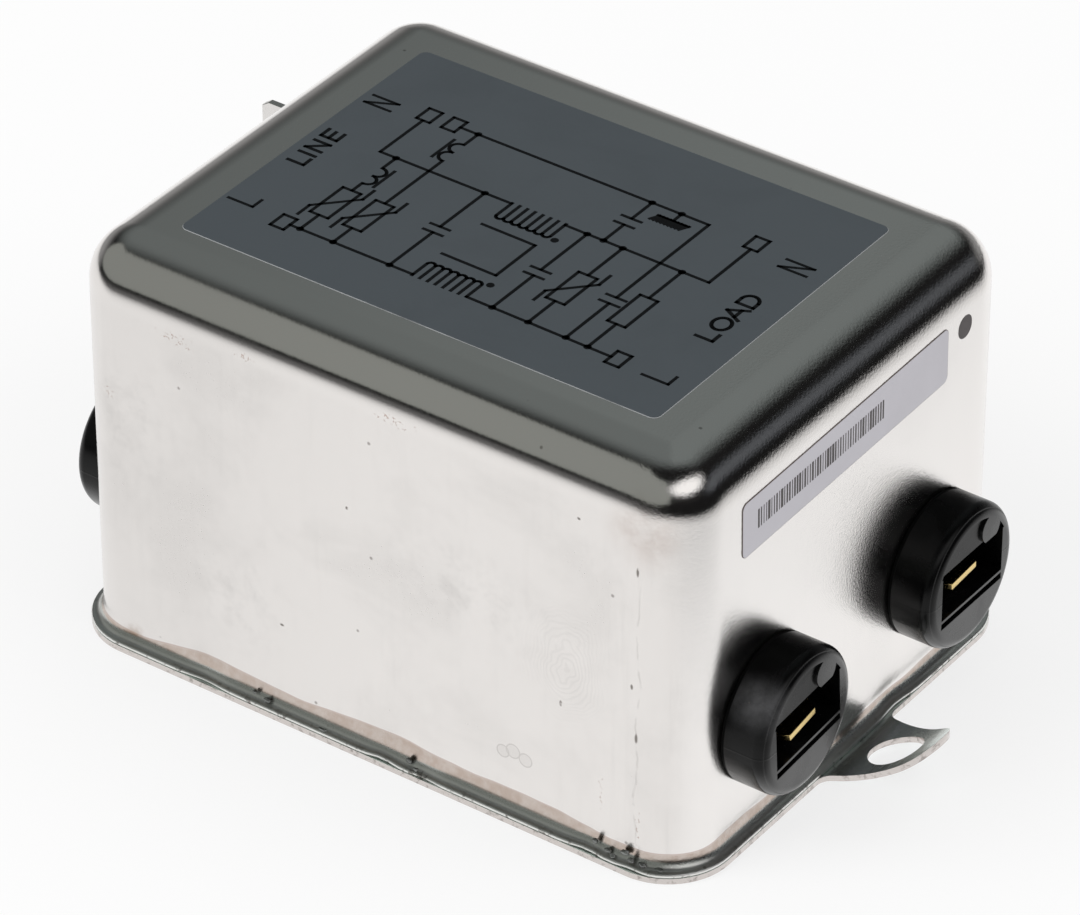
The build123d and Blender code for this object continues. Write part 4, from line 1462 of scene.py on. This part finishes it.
floor_mesh = bpy.data.meshes.new("floor")
corners = [(x * floor_size / 2, y * floor_size / 2, 0.0) for x, y in ((-1, -1), (1, -1), (1, 1), (-1, 1))]
floor_mesh.from_pydata(corners, [], [(0, 1, 2, 3)])
floor = bpy.data.objects.new("floor", floor_mesh)
floor.data.materials.append(build_floor_finish())
bpy.context.scene.collection.objects.link(floor)


# %% Group: a soft card in the room
def build_card():
    """How much a direction points at a soft-edged rounded card, from 0 to 1, with angles in radians."""
    tree, start, end = group_tree(
        "soft_card",
        [("Direction", "NodeSocketVector", None), ("Ahead", "NodeSocketVector", (1.0, 0.0, 0.0)),
         ("Aside", "NodeSocketVector", (0.0, 1.0, 0.0)), ("Elevation", "NodeSocketFloat", 0.5),
         ("Half width", "NodeSocketFloat", 0.5), ("Half height", "NodeSocketFloat", 0.5),
         ("Squareness", "NodeSocketFloat", 4.0), ("Soft edge", "NodeSocketFloat", 0.1)],
        [("Mask", "NodeSocketFloat")])
    given = start.outputs
    direction = given["Direction"]
    turn = maths(tree, "ARCTAN2", vector_maths(tree, "DOT_PRODUCT", direction, given["Aside"]),
                 vector_maths(tree, "DOT_PRODUCT", direction, given["Ahead"]))
    rise = minus(tree, maths(tree, "ARCSINE", axes(tree, direction)["Z"]), given["Elevation"])
    powers = []
    for angle, half in ((turn, "Half width"), (rise, "Half height")):
        share = maths(tree, "DIVIDE", maths(tree, "ABSOLUTE", angle), given[half])
        powers.append(maths(tree, "POWER", share, given["Squareness"]))
    reach = maths(tree, "POWER", plus(tree, *powers), maths(tree, "DIVIDE", 1.0, given["Squareness"]))
    beyond = maths(tree, "DIVIDE", minus(tree, reach, 1.0), given["Soft edge"])
    feed(tree, end, Mask=fade(tree, beyond, -1.0, 1.0))
    return tree


soft_card = build_card()

# %% The room
Card = namedtuple("Card", "azimuth elevation half_width half_height squareness soft colour")
cards = [
    Card(-119.0, 27.5, 62.0, 25.0, 3.4, 0.07, (0.265, 0.277, 0.261)),
    Card(-20.0, 37.0, 40.0, 14.0, 2.0, 0.45, (1.1, 1.1, 1.1)),
    Card(36.0, 15.0, 22.0, 9.0, 2.0, 0.70, (0.105, 0.112, 0.122)),
]
ceiling_azimuth, ceiling_height = 125.0, 60.0
ceiling_edge, ceiling_middle = 50.0, 20.0
ceiling_colour = (0.178, 0.198, 0.196)
far_glow_azimuth = 125.0
far_glow_colour = (0.30, 0.30, 0.30)
far_glow_top = 0.45
far_glow_reach = (0.2, 0.7)
side_azimuth = 35.0
side_reach = (-0.09, 0.07)
side_gradient = (0.84, 1.08)
matt_light = (0.62, 0.62, 0.62)


def heading(azimuth, height):
    """The unit vector towards a point of the room, from degrees."""
    flat = math.cos(math.radians(height))
    return Vector((flat * math.cos(math.radians(azimuth)), flat * math.sin(math.radians(azimuth)),
                   math.sin(math.radians(height))))


def build_world():
    """A plain even light for matt surfaces, and a room with cards for what mirrors it."""
    world = bpy.data.worlds.new("studio")
    bpy.context.scene.world = world
    world.use_nodes = True
    tree = world.node_tree
    tree.nodes.clear()
    direction = tree.nodes.new("ShaderNodeTexCoord").outputs["Generated"]
    closeness = vector_maths(tree, "DOT_PRODUCT", direction, heading(ceiling_azimuth, ceiling_height))
    ceiling = smooth_step(tree, closeness, math.cos(math.radians(ceiling_edge)),
                          math.cos(math.radians(ceiling_middle)))
    across = vector_maths(tree, "DOT_PRODUCT", direction, heading(side_azimuth, 0.0))
    ceiling = times(tree, ceiling, smooth_step(tree, across, *side_reach, *side_gradient))
    room = mix_colour(tree, ceiling, (room_value,) * 3, ceiling_colour)
    behind = smooth_step(tree, vector_maths(tree, "DOT_PRODUCT", direction, heading(far_glow_azimuth, 0.0)),
                         *far_glow_reach)
    glow = times(tree, behind, fade(tree, axes(tree, direction)["Z"], 0.0, far_glow_top))
    room = mix_colour(tree, glow, room, far_glow_colour, "ADD")
    for card in cards:
        mask = put_group(tree, soft_card, Direction=direction, Ahead=heading(card.azimuth, 0.0),
                         Aside=heading(card.azimuth + 90.0, 0.0), Elevation=math.radians(card.elevation),
                         Half_width=math.radians(card.half_width),
                         Half_height=math.radians(card.half_height), Squareness=card.squareness,
                         Soft_edge=card.soft)
        lit = mix_colour(tree, mask.outputs[0], (0.0, 0.0, 0.0), card.colour)
        room = mix_colour(tree, 1.0, room, lit, "LIGHTEN")
    path = tree.nodes.new("ShaderNodeLightPath").outputs
    plain = mix_colour(tree, path["Is Camera Ray"], matt_light, (1.0, 1.0, 1.0))
    shown = mix_colour(tree, path["Is Glossy Ray"], plain, room)
    background = put(tree, "ShaderNodeBackground", Color=shown, Strength=1.0)
    output = tree.nodes.new("ShaderNodeOutputWorld")
    tree.links.new(background.outputs[0], output.inputs[0])
    world.cycles.sampling_method = "NONE"
    return world


build_world()

# %% Lamps
Lamp = namedtuple("Lamp", "name place size energy")
lamps = [
    Lamp("key", (-0.55, -0.75, 0.95), 0.7, 7.0),
    Lamp("fill", (0.85, 0.25, 0.8), 0.7, 3.0),
]
for lamp in lamps:
    light = bpy.data.lights.new(lamp.name, "AREA")
    light.size = lamp.size
    light.energy = lamp.energy
    holder = bpy.data.objects.new(lamp.name, light)
    holder.matrix_world = (Matrix.Translation(lamp.place)
                           @ Vector(lamp.place).to_track_quat("Z", "Y").to_matrix().to_4x4())
    holder.visible_glossy = False
    bpy.context.scene.collection.objects.link(holder)
bpy.context.scene.view_settings.view_transform = "Standard"
print("lamps:", [lamp.name for lamp in lamps])
